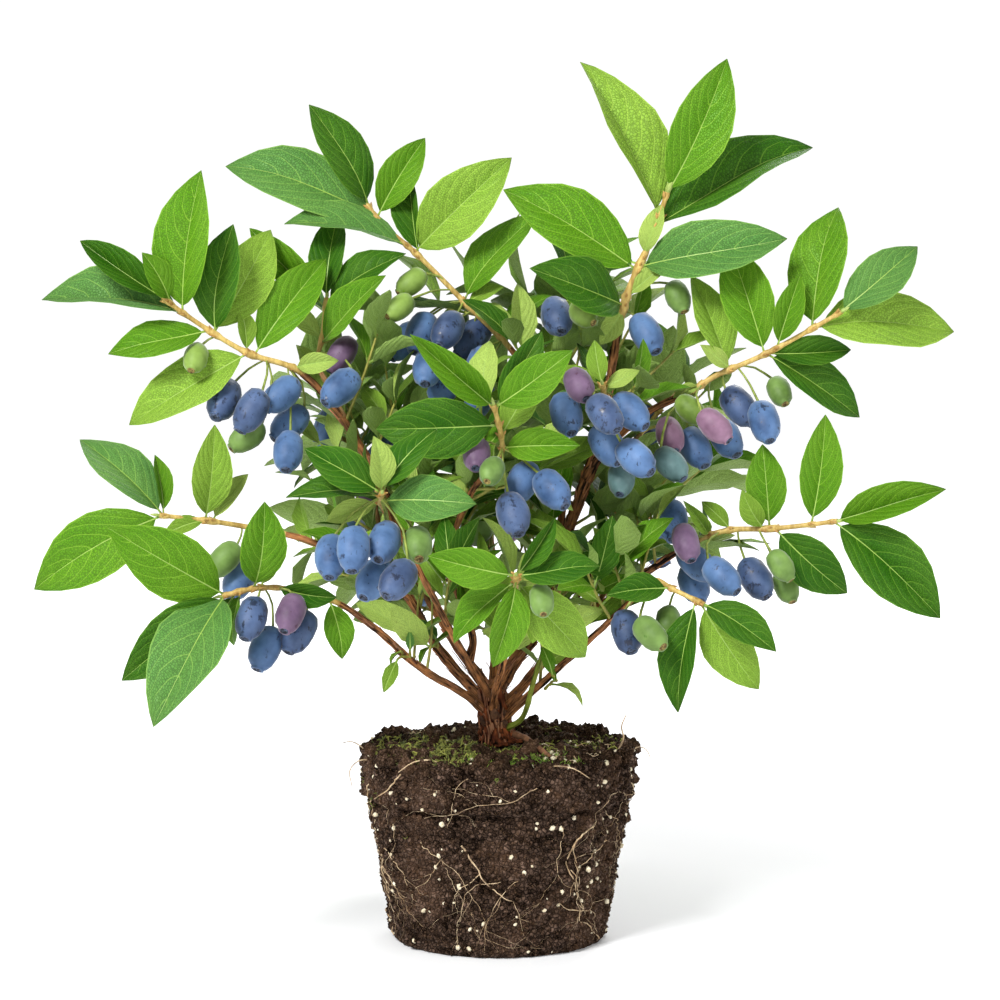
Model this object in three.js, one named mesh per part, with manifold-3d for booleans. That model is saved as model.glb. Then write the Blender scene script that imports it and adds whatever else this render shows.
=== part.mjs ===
// Haskap (blue honeysuckle) shrub standing on its bare root ball.
// Millimetres, +Z up. The origin is the centre of the root ball's flat underside, the front faces -Y.
//
// A short trunk rises from the soil and forks into thin boughs. Every bough is one tapering limb and
// ends in a spray: a green shoot that goes on from the bough's tip, with opposite leaves and berries.
// The front sprays follow measured leaves, the others branch by a seeded rule.

import * as THREE from 'three';
import { mergeVertices } from 'three/addons/utils/BufferGeometryUtils.js';
import Module from 'manifold-3d';

const wasm = await Module();
wasm.setup();

// Driving dimensions
const CLEARANCE = 0.3;
const BALL = { height: 84, rim: 60, band: 20, step: 2.5, foot: 47, edge: 1.5, sides: 24 };
const LUMP = { x: 22, y: 24, rise: 5, spread: 8 };
const TRUNK = { top: [-3, 1, 109], middle: [-2, 0, 97], flare: 9.5, neck: 6.6, head: 5.8, sides: 10 };
const LEAF = { slender: 0.44, halfThick: 0.011, leastHalf: 0.45, arch: 0.07, fold: 0.16, small: 30 };
const PETIOLE = { halfWidth: 0.45, halfThick: 0.42, length: 3.4 };
// Where a blade's full rings lie along it, and their share of its width
const LARGE_RINGS = [[0.27, 0.86], [0.64, 0.9]];
const SMALL_RINGS = [[0.45, 1]];
const SHOOT = { tip: 1.15, sides: 4, step: 16, start: 4, end: 1.6 };
const TWIG = { radius: 1, sides: 4 };
const BERRY = {
  ripe: { long: 20, wide: 13.5 },
  turning: { long: 18, wide: 12 },
  green: { long: 15, wide: 10.5 },
};
const BERRY_STALK = 0.7;
const MARGIN = { blade: 0.9, wood: 0.6, berry: 0.5 };

// How far in degrees a leaf leans, and how far in millimetres a berry hangs toward the front: each value
// is tried in turn until the leaf or berry is clear of everything grown before it
const LEANS = [0, 12, -12, 24, -24, 36, -36];
const BERRY_OUT = [4, 10, 16, -4, 22, -10, 28];

// The habit of leaves and berries, in degrees: how much they vary, and how far a pair opens
const HABIT = { hang: 35, lean: 22, roll: 32, ruleRoll: 25, opening: 62, tipOpening: 38, waver: 13 };
const NODE_NECK = 0.6;

const BARK = { color: 0x6b4630, roughness: 0.9 };
const YOUNG_BARK = { color: 0xa8794a, roughness: 0.75 };
const FOLIAGE = { color: 0x4c8534, roughness: 0.55 };
const SOIL = { color: 0x3a2b22, roughness: 1 };

// Boughs. from: the limb it leaves and how far along that limb. radius: at its foot and at its tip.
// wood: the places it bends through after its foot, the last one its tip.
// shoot: where its spray's shoot runs on to.
// leaves: how far along the shoot, clock angle in the front view, reach from the shoot to the tip.
// fruit: how far along the shoot, clock angle, distance to the berry's middle, ripeness.
const BOUGHS = {
  leader: {
    from: ['trunk', 0.85], radius: [3.1, 1.7],
    wood: [[6, 2, 119], [16, 4, 133], [28, 2, 171], [44, -2, 221], [52, -3, 268]],
    shoot: [[56, -4, 282], [65, -8, 303], [72, -12, 324]],
    leaves: [[0.81, 117, 74], [1, 66, 63], [0.74, 26, 77], [0.39, 149, 67], [0.42, 11, 63],
      [0.12, 158, 44], [0.44, 165, 32], [0.5, 71, 24], [0.19, 38, 24], [0.09, 236, 18]],
    fruit: [[0.06, 183, 28, 'ripe'], [0.06, 181, 17, 'green'], [0.08, 317, 14, 'ripe'],
      [0.18, 1, 22, 'green']],
  },
  upper_left: {
    from: ['trunk', 0.8], radius: [2.5, 1.4],
    wood: [[-8, 6, 112], [-16, 8, 123], [-37, 12, 160], [-58, 8, 210], [-85, 0, 246]],
    shoot: [[-108, -6, 255], [-133, -12, 271], [-143, -16, 279]],
    leaves: [[0.84, 81, 61], [0.97, 146, 45], [0.83, 175, 63], [0.94, 116, 24], [0.64, 193, 44],
      [0.61, 62, 50], [0.59, 80, 48], [0.36, 211, 60], [0.32, 54, 51], [0.05, 10, 20], [0.37, 99, 20]],
    fruit: [[0.24, 224, 25, 'ripe'], [0.24, 256, 22, 'ripe'], [0.17, 279, 14, 'ripe'],
      [0.12, 274, 26, 'ripe'], [0.23, 255, 34, 'turning'], [0.1, 272, 36, 'ripe'],
      [0.58, 226, 13, 'green']],
  },
  left: {
    from: ['trunk', 0.62], radius: [2.4, 1.3],
    wood: [[-11, 2, 108], [-27, 1, 127], [-44, -2, 155], [-75, -4, 171], [-93, -6, 177]],
    shoot: [[-108, -8, 180], [-124, -12, 183], [-145, -18, 186]],
    leaves: [[1, 140, 49], [0.99, 210, 66], [0.63, 83, 42], [0.57, 53, 25], [0.98, 99, 26],
      [0.62, 198, 19]],
    fruit: [[0.33, 242, 16, 'turning'], [0.28, 259, 24, 'ripe']],
  },
  low_left: {
    from: ['trunk', 0.4], radius: [2, 1.2],
    wood: [[-12, -5, 105], [-34, -14, 120], [-51, -26, 137], [-68, -40, 151]],
    shoot: [[-83, -48, 157], [-99, -54, 159], [-115, -58, 156]],
    leaves: [[1, 147, 55], [1, 219, 54], [1, 242, 55], [0.88, 245, 33], [0.74, 81, 38],
      [0.56, 350, 26], [0.06, 282, 26], [0.67, 73, 23], [0.84, 260, 25]],
    fruit: [[0.68, 255, 12, 'ripe'], [0.56, 306, 12, 'turning'], [0.5, 289, 20, 'ripe'],
      [0.65, 270, 26, 'ripe']],
  },
  right_low: {
    from: ['trunk', 0.5], radius: [2.2, 1.3],
    wood: [[9, 0, 108], [25, -2, 127], [48, -8, 149], [75, -16, 169], [86, -20, 176]],
    shoot: [[98, -22, 180], [115, -26, 181], [131, -30, 183], [143, -34, 185]],
    leaves: [[0.51, 95, 36], [0.81, 83, 47], [1, 18, 48], [0.99, 318, 61], [0.55, 318, 42],
      [0.47, 120, 20], [0.23, 136, 17], [0.05, 126, 20]],
    fruit: [[0, 157, 17, 'ripe'], [0.02, 185, 11, 'turning'], [0.03, 242, 12, 'ripe'],
      [0.02, 254, 22, 'ripe'], [0.15, 267, 16, 'ripe'], [0.14, 269, 28, 'turning'],
      [0.28, 290, 22, 'ripe'], [0.43, 301, 17, 'green'], [0.43, 296, 28, 'green']],
  },
  low_right: {
    from: ['trunk', 0.3], radius: [1.8, 1.1],
    wood: [[8, -7, 102], [31, -18, 125], [53, -40, 149], [65, -52, 162]],
    shoot: [[72, -58, 159], [79, -62, 156], [85, -64, 153]],
    leaves: [[0.36, 184, 27], [0.85, 261, 47], [1, 304, 44], [0.96, 329, 35]],
    fruit: [[0.2, 232, 25, 'ripe'], [0.2, 252, 20, 'turning'], [0.46, 258, 14, 'green']],
  },
  front: {
    from: ['trunk', 0.55], radius: [1.8, 1.1],
    wood: [[-2, -12, 106], [2, -45, 127], [5, -82, 151], [7, -98, 164]],
    shoot: [[7, -106, 168], [7, -114, 171]],
    leaves: [[0.97, 166, 36], [1, 7, 41], [0.48, 226, 36], [0.61, 255, 36], [0.44, 311, 43],
      [1, 56, 28]],
    fruit: [[0.59, 322, 13, 'green']],
  },
  front_left: {
    from: ['trunk', 0.75], radius: [1.7, 1.1],
    wood: [[-7, -10, 112], [-18, -34, 134], [-35, -62, 171], [-47, -76, 194]],
    shoot: [[-48, -84, 199], [-47, -93, 202]],
    leaves: [[1, 149, 36], [0.64, 180, 38], [1, 97, 24], [1, 49, 34], [0.31, 0, 39],
      [0.16, 199, 24]],
    fruit: [[0.54, 230, 31, 'ripe'], [0.54, 242, 22, 'ripe'], [0.54, 275, 18, 'ripe'],
      [0.51, 309, 24, 'turning'], [0.54, 265, 34, 'ripe'], [0.54, 284, 32, 'ripe']],
  },
  centre: {
    from: ['upper_left', 0.12], radius: [1.7, 1.1],
    wood: [[-11, 3, 129], [-17, 0, 148], [-21, -12, 166], [-12, -30, 196], [1, -48, 214]],
    shoot: [[1, -56, 223], [-2, -66, 236]],
    leaves: [[1, 138, 46], [0.61, 182, 51], [1, 58, 37], [0.97, 37, 40], [0.41, 61, 28],
      [0.05, 4, 32]],
    fruit: [[0.01, 192, 11, 'turning'], [0.01, 241, 9, 'green'], [0, 248, 18, 'ripe'],
      [0.02, 301, 16, 'ripe'], [0, 322, 26, 'ripe'], [0, 280, 26, 'ripe']],
  },
  right_upper: {
    from: ['leader', 0.6], radius: [2, 1.3],
    wood: [[45, -3, 212], [53, -6, 221], [68, -10, 232], [83, -12, 239]],
    shoot: [[92, -13, 245], [112, -16, 254], [130, -20, 264], [145, -24, 273]],
    leaves: [[0.8, 76, 53], [1, 39, 45], [0.81, 358, 62], [0.49, 2, 37], [0.49, 326, 50],
      [0.48, 108, 50], [0.25, 112, 43], [0.56, 73, 33], [0.26, 142, 17], [0.03, 204, 13]],
    fruit: [[0, 238, 25, 'turning'], [0, 243, 11, 'green'], [0.03, 266, 27, 'ripe'],
      [0.07, 283, 17, 'turning'], [0.21, 295, 16, 'ripe'], [0.3, 295, 25, 'ripe'],
      [0.12, 287, 27, 'ripe'], [0.31, 328, 21, 'green'], [0, 247, 35, 'turning']],
  },
  top_left: {
    from: ['leader', 0.36], radius: [1.9, 1.3],
    wood: [[28, 8, 190], [28, 10, 205], [21, 16, 231], [5, 20, 256]],
    shoot: [[-13, 22, 274], [-36, 26, 297], [-52, 28, 311], [-58, 30, 319]],
    leaves: [[1, 120, 51], [0.93, 162, 69], [0.71, 170, 54], [0.91, 59, 41], [0.63, 97, 40],
      [0.66, 44, 59], [0.32, 50, 50], [0.3, 25, 18], [0.08, 37, 29], [0.28, 341, 21]],
    fruit: [[0.4, 170, 18, 'green'], [0.4, 198, 24, 'green'], [0.32, 216, 23, 'ripe'],
      [0.32, 214, 32, 'ripe'], [0.32, 241, 14, 'ripe'], [0.06, 180, 13, 'ripe'],
      [0.02, 225, 14, 'ripe'], [0.26, 232, 31, 'ripe'], [0.23, 246, 34, 'ripe'],
      [0.05, 247, 27, 'ripe']],
  },
  centre_right: {
    from: ['leader', 0.68], radius: [1.4, 1],
    wood: [[46, -14, 224], [46, -28, 229], [45, -40, 237]],
    shoot: [[44, -45, 240], [43, -52, 244]],
    leaves: [[0.59, 154, 20], [0.65, 27, 17], [0.1, 208, 24], [1, 100, 19]],
    fruit: [[0.72, 173, 10, 'turning'], [0.33, 209, 18, 'ripe'], [0.62, 270, 9, 'ripe'],
      [0.29, 273, 21, 'ripe'], [0.53, 323, 14, 'ripe'], [0.24, 296, 28, 'ripe'],
      [0.24, 282, 36, 'turning']],
  },
  left_top: {
    from: ['upper_left', 0.84], radius: [1.4, 1],
    wood: [[-74, 9, 240], [-79, 12, 250]],
    shoot: [[-77, 14, 260], [-76, 16, 269], [-75, 18, 278]],
    leaves: [[1, 83, 39], [0.85, 134, 48], [0.87, 33, 42], [0.28, 46, 42], [0.37, 137, 21]],
    fruit: [[0.27, 336, 10, 'turning'], [0.16, 306, 18, 'ripe']],
  },
  low_centre: {
    from: ['trunk', 0.2], radius: [1.3, 0.9],
    wood: [[10, -9, 97], [15, -15, 114], [21, -18, 135]],
    shoot: [[25, -20, 150], [29, -22, 166]],
    rule: { nodes: 2, leaf: 26, twigs: 0, berries: 0 },
  },
  back: {
    from: ['trunk', 0.7], radius: [2.1, 1.2],
    wood: [[-2, 12, 114], [-2, 40, 142], [-4, 72, 176]],
    shoot: [[-6, 88, 196], [-10, 98, 218]],
    rule: { nodes: 4, leaf: 50, twigs: 2, berries: 5 },
  },
  back_left: {
    from: ['upper_left', 0.42], radius: [1.7, 1.1],
    wood: [[-46, 26, 186], [-58, 44, 200]],
    shoot: [[-70, 60, 214], [-80, 74, 232]],
    rule: { nodes: 4, leaf: 48, twigs: 2, berries: 4 },
  },
  back_low: {
    from: ['back', 0.45], radius: [1.5, 1.1],
    wood: [[-16, 52, 148], [-32, 66, 152]],
    shoot: [[-50, 78, 156], [-66, 88, 164]],
    rule: { nodes: 3, leaf: 44, twigs: 1, berries: 3 },
  },
  back_right: {
    from: ['right_low', 0.28], radius: [1.8, 1.1],
    wood: [[34, 18, 146], [52, 40, 166]],
    shoot: [[68, 58, 180], [84, 74, 192]],
    rule: { nodes: 4, leaf: 48, twigs: 2, berries: 4 },
  },
  back_top: {
    from: ['top_left', 0.5], radius: [1.5, 1],
    wood: [[28, 30, 230], [30, 44, 244]],
    shoot: [[32, 58, 260], [34, 66, 282]],
    rule: { nodes: 3, leaf: 46, twigs: 2, berries: 4 },
  },
  inner_left: {
    from: ['left', 0.5], radius: [1.4, 1],
    wood: [[-52, 14, 178], [-54, 22, 190]],
    shoot: [[-50, 28, 206], [-44, 34, 226]],
    rule: { nodes: 3, leaf: 34, twigs: 2, berries: 3 },
  },
  inner_centre: {
    from: ['leader', 0.28], radius: [1.5, 1],
    wood: [[14, 18, 168], [6, 26, 180]],
    shoot: [[-4, 32, 198], [-12, 36, 220]],
    rule: { nodes: 3, leaf: 36, twigs: 2, berries: 2 },
  },
  inner_right: {
    from: ['right_upper', 0.3], radius: [1.4, 1],
    wood: [[58, 8, 216], [62, 20, 218]],
    shoot: [[68, 32, 224], [78, 42, 236]],
    rule: { nodes: 3, leaf: 36, twigs: 1, berries: 3 },
  },
  inner_low: {
    from: ['right_low', 0.52], radius: [1.4, 1],
    wood: [[52, 0, 164], [50, 6, 174]],
    shoot: [[52, 10, 188], [56, 14, 204]],
    rule: { nodes: 3, leaf: 32, twigs: 1, berries: 0 },
  },
};

const SEED = 7301;
const UP = new THREE.Vector3(0, 0, 1);

const vec = (p) => new THREE.Vector3(...p);
const radians = THREE.MathUtils.degToRad;
const lerp = THREE.MathUtils.lerp;

// A small seeded random generator, so that the shrub grows the same every time
function seeded(seed) {
  let state = seed >>> 0;
  return () => {
    state = (state + 0x6d2b79f5) >>> 0;
    let t = state;
    t = Math.imul(t ^ (t >>> 15), t | 1);
    t ^= t + Math.imul(t ^ (t >>> 7), t | 61);
    return ((t ^ (t >>> 14)) >>> 0) / 4294967296;
  };
}

const spread = (random, size) => (random() * 2 - 1) * size;

// Part of a longer curve, between two lengths along it
class Stretch extends THREE.Curve {
  constructor(whole, start, end) {
    super();
    this.whole = whole;
    this.start = start / whole.getLength();
    this.end = end / whole.getLength();
  }

  getPoint(t, target = new THREE.Vector3()) {
    return this.whole.getPointAt(Math.min(1, lerp(this.start, this.end, t)), target);
  }
}

// Closed mesh to solid
function solid(geometry) {
  geometry.deleteAttribute('normal');
  geometry.deleteAttribute('uv');
  const merged = mergeVertices(geometry);
  const mesh = new wasm.Mesh({
    numProp: 3,
    vertProperties: Float32Array.from(merged.attributes.position.array),
    triVerts: Uint32Array.from(merged.index.array),
  });
  return new wasm.Manifold(mesh);
}

// Solid back to a geometry that can be shown
function geometryOf(body) {
  const mesh = body.getMesh();
  const geometry = new THREE.BufferGeometry();
  geometry.setAttribute('position', new THREE.BufferAttribute(Float32Array.from(mesh.vertProperties), 3));
  geometry.setIndex(new THREE.BufferAttribute(Uint32Array.from(mesh.triVerts), 1));
  geometry.computeVertexNormals();
  return geometry;
}

// The main shell of a solid: a loose scrap is dropped and a sealed hollow is filled
function largestPiece(body) {
  return body.decompose().sort((a, b) => b.volume() - a.volume())[0];
}

// A round limb: a cylinder bent along a curve, radiusAt gives its radius along the way
function limb(curve, sides, steps, radiusAt) {
  const cylinder = new THREE.CylinderGeometry(1, 1, 1, sides, steps);
  const frames = curve.computeFrenetFrames(steps, false);
  const place = cylinder.attributes.position;
  for (let i = 0; i < place.count; i += 1) {
    const k = Math.round((place.getY(i) + 0.5) * steps);
    const radius = radiusAt(k / steps);
    const point = curve.getPointAt(k / steps)
      .addScaledVector(frames.normals[k], place.getX(i) * radius)
      .addScaledVector(frames.binormals[k], -place.getZ(i) * radius);
    place.setXYZ(i, point.x, point.y, point.z);
  }
  return solid(cylinder);
}

// Height of the soil's top face, a level disc with one crumbly lump behind the trunk
function soilHeight(x, y) {
  const away = ((x - LUMP.x) ** 2 + (y - LUMP.y) ** 2) / (2 * LUMP.spread ** 2);
  return BALL.height + LUMP.rise * Math.exp(-away);
}

// The root ball: a plug that keeps the shape of the pot it grew in, with the pot's rim as a band
function rootBall() {
  const shoulder = BALL.height - BALL.band;
  const profile = [
    [0, 0], [BALL.foot - BALL.edge, 0], [BALL.foot, BALL.edge],
    [BALL.rim - BALL.step, shoulder - BALL.edge], [BALL.rim, shoulder],
    [BALL.rim, BALL.height - BALL.edge], [BALL.rim - BALL.edge, BALL.height],
    [42, BALL.height], [30, BALL.height], [18, BALL.height], [0, BALL.height],
  ].map(([r, z]) => new THREE.Vector2(r, z));
  const lathe = new THREE.LatheGeometry(profile, BALL.sides).rotateX(Math.PI / 2);
  const place = lathe.attributes.position;
  for (let i = 0; i < place.count; i += 1) {
    if (place.getZ(i) >= BALL.height) place.setZ(i, soilHeight(place.getX(i), place.getY(i)));
  }
  return solid(withoutSlivers(lathe));
}

// A lathe's faces on its axis shrink to lines there, so they are left out
function withoutSlivers(geometry) {
  geometry.deleteAttribute('normal');
  geometry.deleteAttribute('uv');
  const merged = mergeVertices(geometry);
  const kept = [];
  for (let i = 0; i < merged.index.count; i += 3) {
    const corners = [0, 1, 2].map((k) => merged.index.getX(i + k));
    if (new Set(corners).size === 3) kept.push(...corners);
  }
  merged.setIndex(kept);
  return merged;
}

function trunkCurve() {
  const foot = [0, 0, BALL.height + CLEARANCE];
  return new THREE.CatmullRomCurve3([foot, TRUNK.middle, TRUNK.top].map(vec), false, 'centripetal');
}

// The trunk's radius: a root flare that dies out in its lowest third, then a slow taper
function trunkRadius(t) {
  const flare = Math.max(0, 1 - t * 3) ** 2 * (TRUNK.flare - TRUNK.neck);
  return lerp(TRUNK.neck, TRUNK.head, t) + flare;
}

// The trunk, cut level at the soil
function trunk(inflate = 0) {
  const body = limb(trunkCurve(), TRUNK.sides, 8, (t) => trunkRadius(t) + inflate);
  return body.trimByPlane([0, 0, 1], BALL.height + CLEARANCE - inflate);
}

// Curves of a bough's wood and of the shoot that goes on from its tip
function boughCurves(bough, parentCurve) {
  const foot = parentCurve.getPointAt(bough.from[1]);
  const wood = [foot, ...bough.wood.map(vec)];
  const whole = new THREE.CatmullRomCurve3([...wood, ...bough.shoot.map(vec)], false, 'centripetal');
  whole.arcLengthDivisions = 400;
  const share = (wood.length - 1) / (whole.points.length - 1);
  const lengths = whole.getLengths();
  const tip = lengths[Math.round(share * 400)];
  return {
    wood: new Stretch(whole, 0, tip - CLEARANCE / 2),
    shoot: new Stretch(whole, tip + CLEARANCE / 2, whole.getLength()),
  };
}

// Clash tests
// Everything grown so far, as blades of triangles and as chains of balls
const grown = { blades: [], balls: [] };

function addBalls(owner, curve, radiusAt, gap) {
  const count = Math.ceil(curve.getLength() / gap);
  for (let i = 0; i <= count; i += 1) {
    grown.balls.push({ owner, centre: curve.getPointAt(i / count), radius: radiusAt(i / count) });
  }
}

// A blade's skin: its midrib and its two edges, joined by triangles. Leaves of one spray share nodes, so
// between them the skin leaves out the root.
function skin(leaf, widen, lift, whole = true) {
  const rings = whole ? leaf.rings : [leaf.neck, ...leaf.rings.slice(leaf.stalkRings)];
  const mid = rings.map((ring) => ring.middle.clone().addScaledVector(leaf.normal, lift));
  const sides = [-1, 1].map((side) => rings.map((ring, k) => mid[k].clone()
    .addScaledVector(leaf.across, side * (ring.half > 0 ? ring.half + widen : 0))
    .addScaledVector(leaf.normal, ring.half * leaf.fold)));
  const triangles = [];
  for (const edge of sides) {
    for (let k = 0; k < mid.length - 1; k += 1) {
      triangles.push([mid[k], mid[k + 1], edge[k + 1]]);
      triangles.push([mid[k], edge[k + 1], edge[k]]);
    }
  }
  return triangles;
}

const ray = new THREE.Ray();
const hit = new THREE.Vector3();

function pierces(from, to, triangle) {
  const reach = from.distanceTo(to);
  if (reach < 1e-6) return false;
  ray.origin.copy(from);
  ray.direction.copy(to).sub(from).divideScalar(reach);
  return ray.intersectTriangle(...triangle, false, hit) !== null && hit.distanceTo(from) <= reach;
}

function crosses(a, b) {
  const edgesPierce = (one, other) => one.some((tri) => tri.some((corner, k) => (
    other.some((target) => pierces(corner, tri[(k + 1) % 3], target)))));
  return edgesPierce(a, b) || edgesPierce(b, a);
}

const flat = new THREE.Triangle();

function distanceTo(triangles, point) {
  return Math.min(...triangles.map((tri) => {
    flat.set(...tri);
    return flat.closestPointToPoint(point, hit).distanceTo(point);
  }));
}

function leafIsClear(leaf, owner) {
  const lifts = [-MARGIN.blade, 0, MARGIN.blade];
  const layers = lifts.map((lift) => skin(leaf, MARGIN.blade, lift));
  const trimmed = lifts.map((lift) => skin(leaf, 0, lift, false));
  const near = (centre, radius) => centre.distanceTo(leaf.centre) < radius + leaf.reach;
  for (const ball of grown.balls) {
    if (ball.owner === owner || !near(ball.centre, ball.radius + MARGIN.wood)) continue;
    if (distanceTo(layers[1], ball.centre) < ball.radius + MARGIN.wood) return false;
  }
  for (const blade of grown.blades) {
    if (!near(blade.centre, blade.reach)) continue;
    const kin = blade.owner === owner;
    const target = kin ? blade.trimmed : blade.triangles;
    if ((kin ? trimmed : layers).some((layer) => crosses(layer, target))) return false;
  }
  return true;
}

function ballsAreClear(balls, owner) {
  for (const ball of balls) {
    for (const other of grown.balls) {
      if (other.owner === owner) continue;
      const apart = ball.centre.distanceTo(other.centre);
      if (apart < ball.radius + other.radius + MARGIN.berry) return false;
    }
    for (const blade of grown.blades) {
      if (ball.centre.distanceTo(blade.centre) > ball.radius + blade.reach + MARGIN.berry) continue;
      if (distanceTo(blade.triangles, ball.centre) < ball.radius + MARGIN.berry) return false;
    }
  }
  return true;
}

// Leaves
// The shape of a blade between its root on the shoot and its tip: rings of midrib point and half width.
// A small leaf has one full ring, a large one a stalk and two.
function bladeRings(root, tip, normal, length, width, large) {
  const stations = large ? LARGE_RINGS : SMALL_RINGS;
  const ring = (t, half) => {
    const middle = root.clone().lerp(tip, t);
    middle.addScaledVector(normal, LEAF.arch * length * 4 * t * (1 - t));
    return { middle, half };
  };
  const body = stations.map(([t, share]) => ring(t, share * width / 2));
  const stalkEnds = large ? [0, PETIOLE.length / length] : [0];
  const stalk = stalkEnds.map((t) => ring(t, PETIOLE.halfWidth));
  return [...stalk, ...body, ring(1, 0)];
}

// A leaf from its root to its tip, its upper face toward the given direction and rolled about itself
function makeLeaf(root, tip, facing, roll, slender, large) {
  const along = tip.clone().sub(root);
  const length = along.length();
  along.divideScalar(length);
  const normal = facing.clone().addScaledVector(along, -facing.dot(along)).normalize();
  normal.applyAxisAngle(along, roll);
  const across = along.clone().cross(normal);
  const leaf = { root, tip, normal, across, length, fold: LEAF.fold };
  leaf.rings = bladeRings(root, tip, normal, length, slender * length, large);
  leaf.stalkRings = leaf.rings.findIndex((ring) => ring.half > PETIOLE.halfWidth);
  const [last, first] = [leaf.rings[leaf.stalkRings - 1], leaf.rings[leaf.stalkRings]];
  leaf.neck = { middle: last.middle.clone().lerp(first.middle, NODE_NECK), half: 1 };
  leaf.centre = root.clone().lerp(tip, 0.5);
  leaf.reach = length * 0.56 + 2;
  return leaf;
}

// The leaf's solid: a four-sided cone flattened into a blade that is folded a little along its midrib
function leafSolid(leaf) {
  const count = leaf.rings.length - 1;
  const cone = new THREE.CylinderGeometry(0, 1, 1, 4, count);
  const place = cone.attributes.position;
  for (let i = 0; i < place.count; i += 1) {
    const k = Math.round((place.getY(i) + 0.5) * count);
    const ring = leaf.rings[k];
    const side = Math.sign(Math.round(place.getX(i) * 4));
    const face = Math.sign(Math.round(place.getZ(i) * 4));
    const blade = Math.max(LEAF.leastHalf, LEAF.halfThick * leaf.length);
    const half = k < leaf.stalkRings ? PETIOLE.halfThick : blade;
    const lift = k < leaf.stalkRings ? 0 : Math.abs(side) * ring.half * leaf.fold;
    const point = ring.middle.clone();
    if (ring.half > 0) {
      point.addScaledVector(leaf.across, side * ring.half);
      point.addScaledVector(leaf.normal, lift + face * half);
    }
    place.setXYZ(i, point.x, point.y, point.z);
  }
  return solid(cone);
}

function growLeaf(spray, make) {
  for (const lean of LEANS) {
    const leaf = make(radians(lean));
    if (!leafIsClear(leaf, spray.name)) continue;
    grown.blades.push({
      owner: spray.name,
      centre: leaf.centre,
      reach: leaf.reach,
      triangles: skin(leaf, 0, 0),
      trimmed: skin(leaf, 0, 0, false),
    });
    spray.leaves.push(leaf);
    return;
  }
  spray.skipped += 1;
}

// Berries
// A berry hangs by its upper end from a short stalk
function makeBerry(root, centre, axis, size) {
  const top = centre.clone().addScaledVector(axis, -size.long * 0.36);
  const balls = [-0.22, 0, 0.22].map((share) => ({
    centre: centre.clone().addScaledVector(axis, share * size.long),
    radius: size.wide * (share === 0 ? 0.5 : 0.46),
  }));
  return { root, centre, axis, size, top, balls };
}

function growBerry(spray, make) {
  for (const out of BERRY_OUT) {
    const berry = make(out);
    if (!ballsAreClear(berry.balls, null)) continue;
    grown.balls.push(...berry.balls.map((ball) => ({ ...ball, owner: `${spray.name}_berry` })));
    spray.berries.push(berry);
    return;
  }
  spray.skipped += 1;
}

// The berry's solid: a five-sided ball drawn out along its axis
function berrySolid(berry) {
  const ball = new THREE.SphereGeometry(1, 5, 3);
  ball.scale(berry.size.wide * 0.52, berry.size.long / 2, berry.size.wide * 0.52);
  ball.applyQuaternion(new THREE.Quaternion().setFromUnitVectors(new THREE.Vector3(0, 1, 0), berry.axis));
  ball.translate(...berry.centre.toArray());
  return solid(ball);
}

const straight = (from, to, sides, radius) => (
  limb(new THREE.LineCurve3(from, to), sides, 1, () => radius));

// Sprays
// A measured leaf or berry: clock angle and reach are those of the front view
function frontOffset(clock, reach, out) {
  const angle = radians(clock);
  return new THREE.Vector3(Math.cos(angle) * reach, -out, Math.sin(angle) * reach);
}

function growMeasured(spray, bough, random) {
  for (const [along, clock, reach, ripeness] of bough.fruit) {
    const root = spray.curve.getPointAt(nodeAt(spray.curve, along));
    const hang = radians(spread(random, HABIT.hang));
    const nod = 0.15 + random() * 0.7;
    const axis = new THREE.Vector3(Math.sin(hang), -nod, -Math.cos(hang)).normalize();
    growBerry(spray, (out) => (
      makeBerry(root, root.clone().add(frontOffset(clock, reach, out)), axis, BERRY[ripeness])));
  }
  for (const [along, clock, reach] of bough.leaves) {
    const root = spray.curve.getPointAt(nodeAt(spray.curve, along));
    const lean = radians(spread(random, HABIT.lean));
    const roll = radians(spread(random, HABIT.roll));
    const slender = LEAF.slender * (1 + spread(random, 0.1));
    const facing = new THREE.Vector3(0, -0.9, 0.45);
    growLeaf(spray, (extra) => {
      const out = Math.tan(lean + extra) * reach;
      const tip = root.clone().add(frontOffset(clock, reach, out));
      return makeLeaf(root, tip, facing, roll, slender, reach >= LEAF.small);
    });
  }
}

// A node's place on its twig, a little short of the twig's ends
function nodeAt(curve, along) {
  const length = curve.getLength();
  return THREE.MathUtils.clamp(along, SHOOT.start / length, 1 - SHOOT.end / length);
}

// A direction square to the shoot, turned about it
function aside(curve, along, turn) {
  const ahead = curve.getTangentAt(along);
  const flatSide = new THREE.Vector3(-ahead.y, ahead.x, 0.001).normalize();
  return flatSide.applyAxisAngle(ahead, turn);
}

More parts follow.
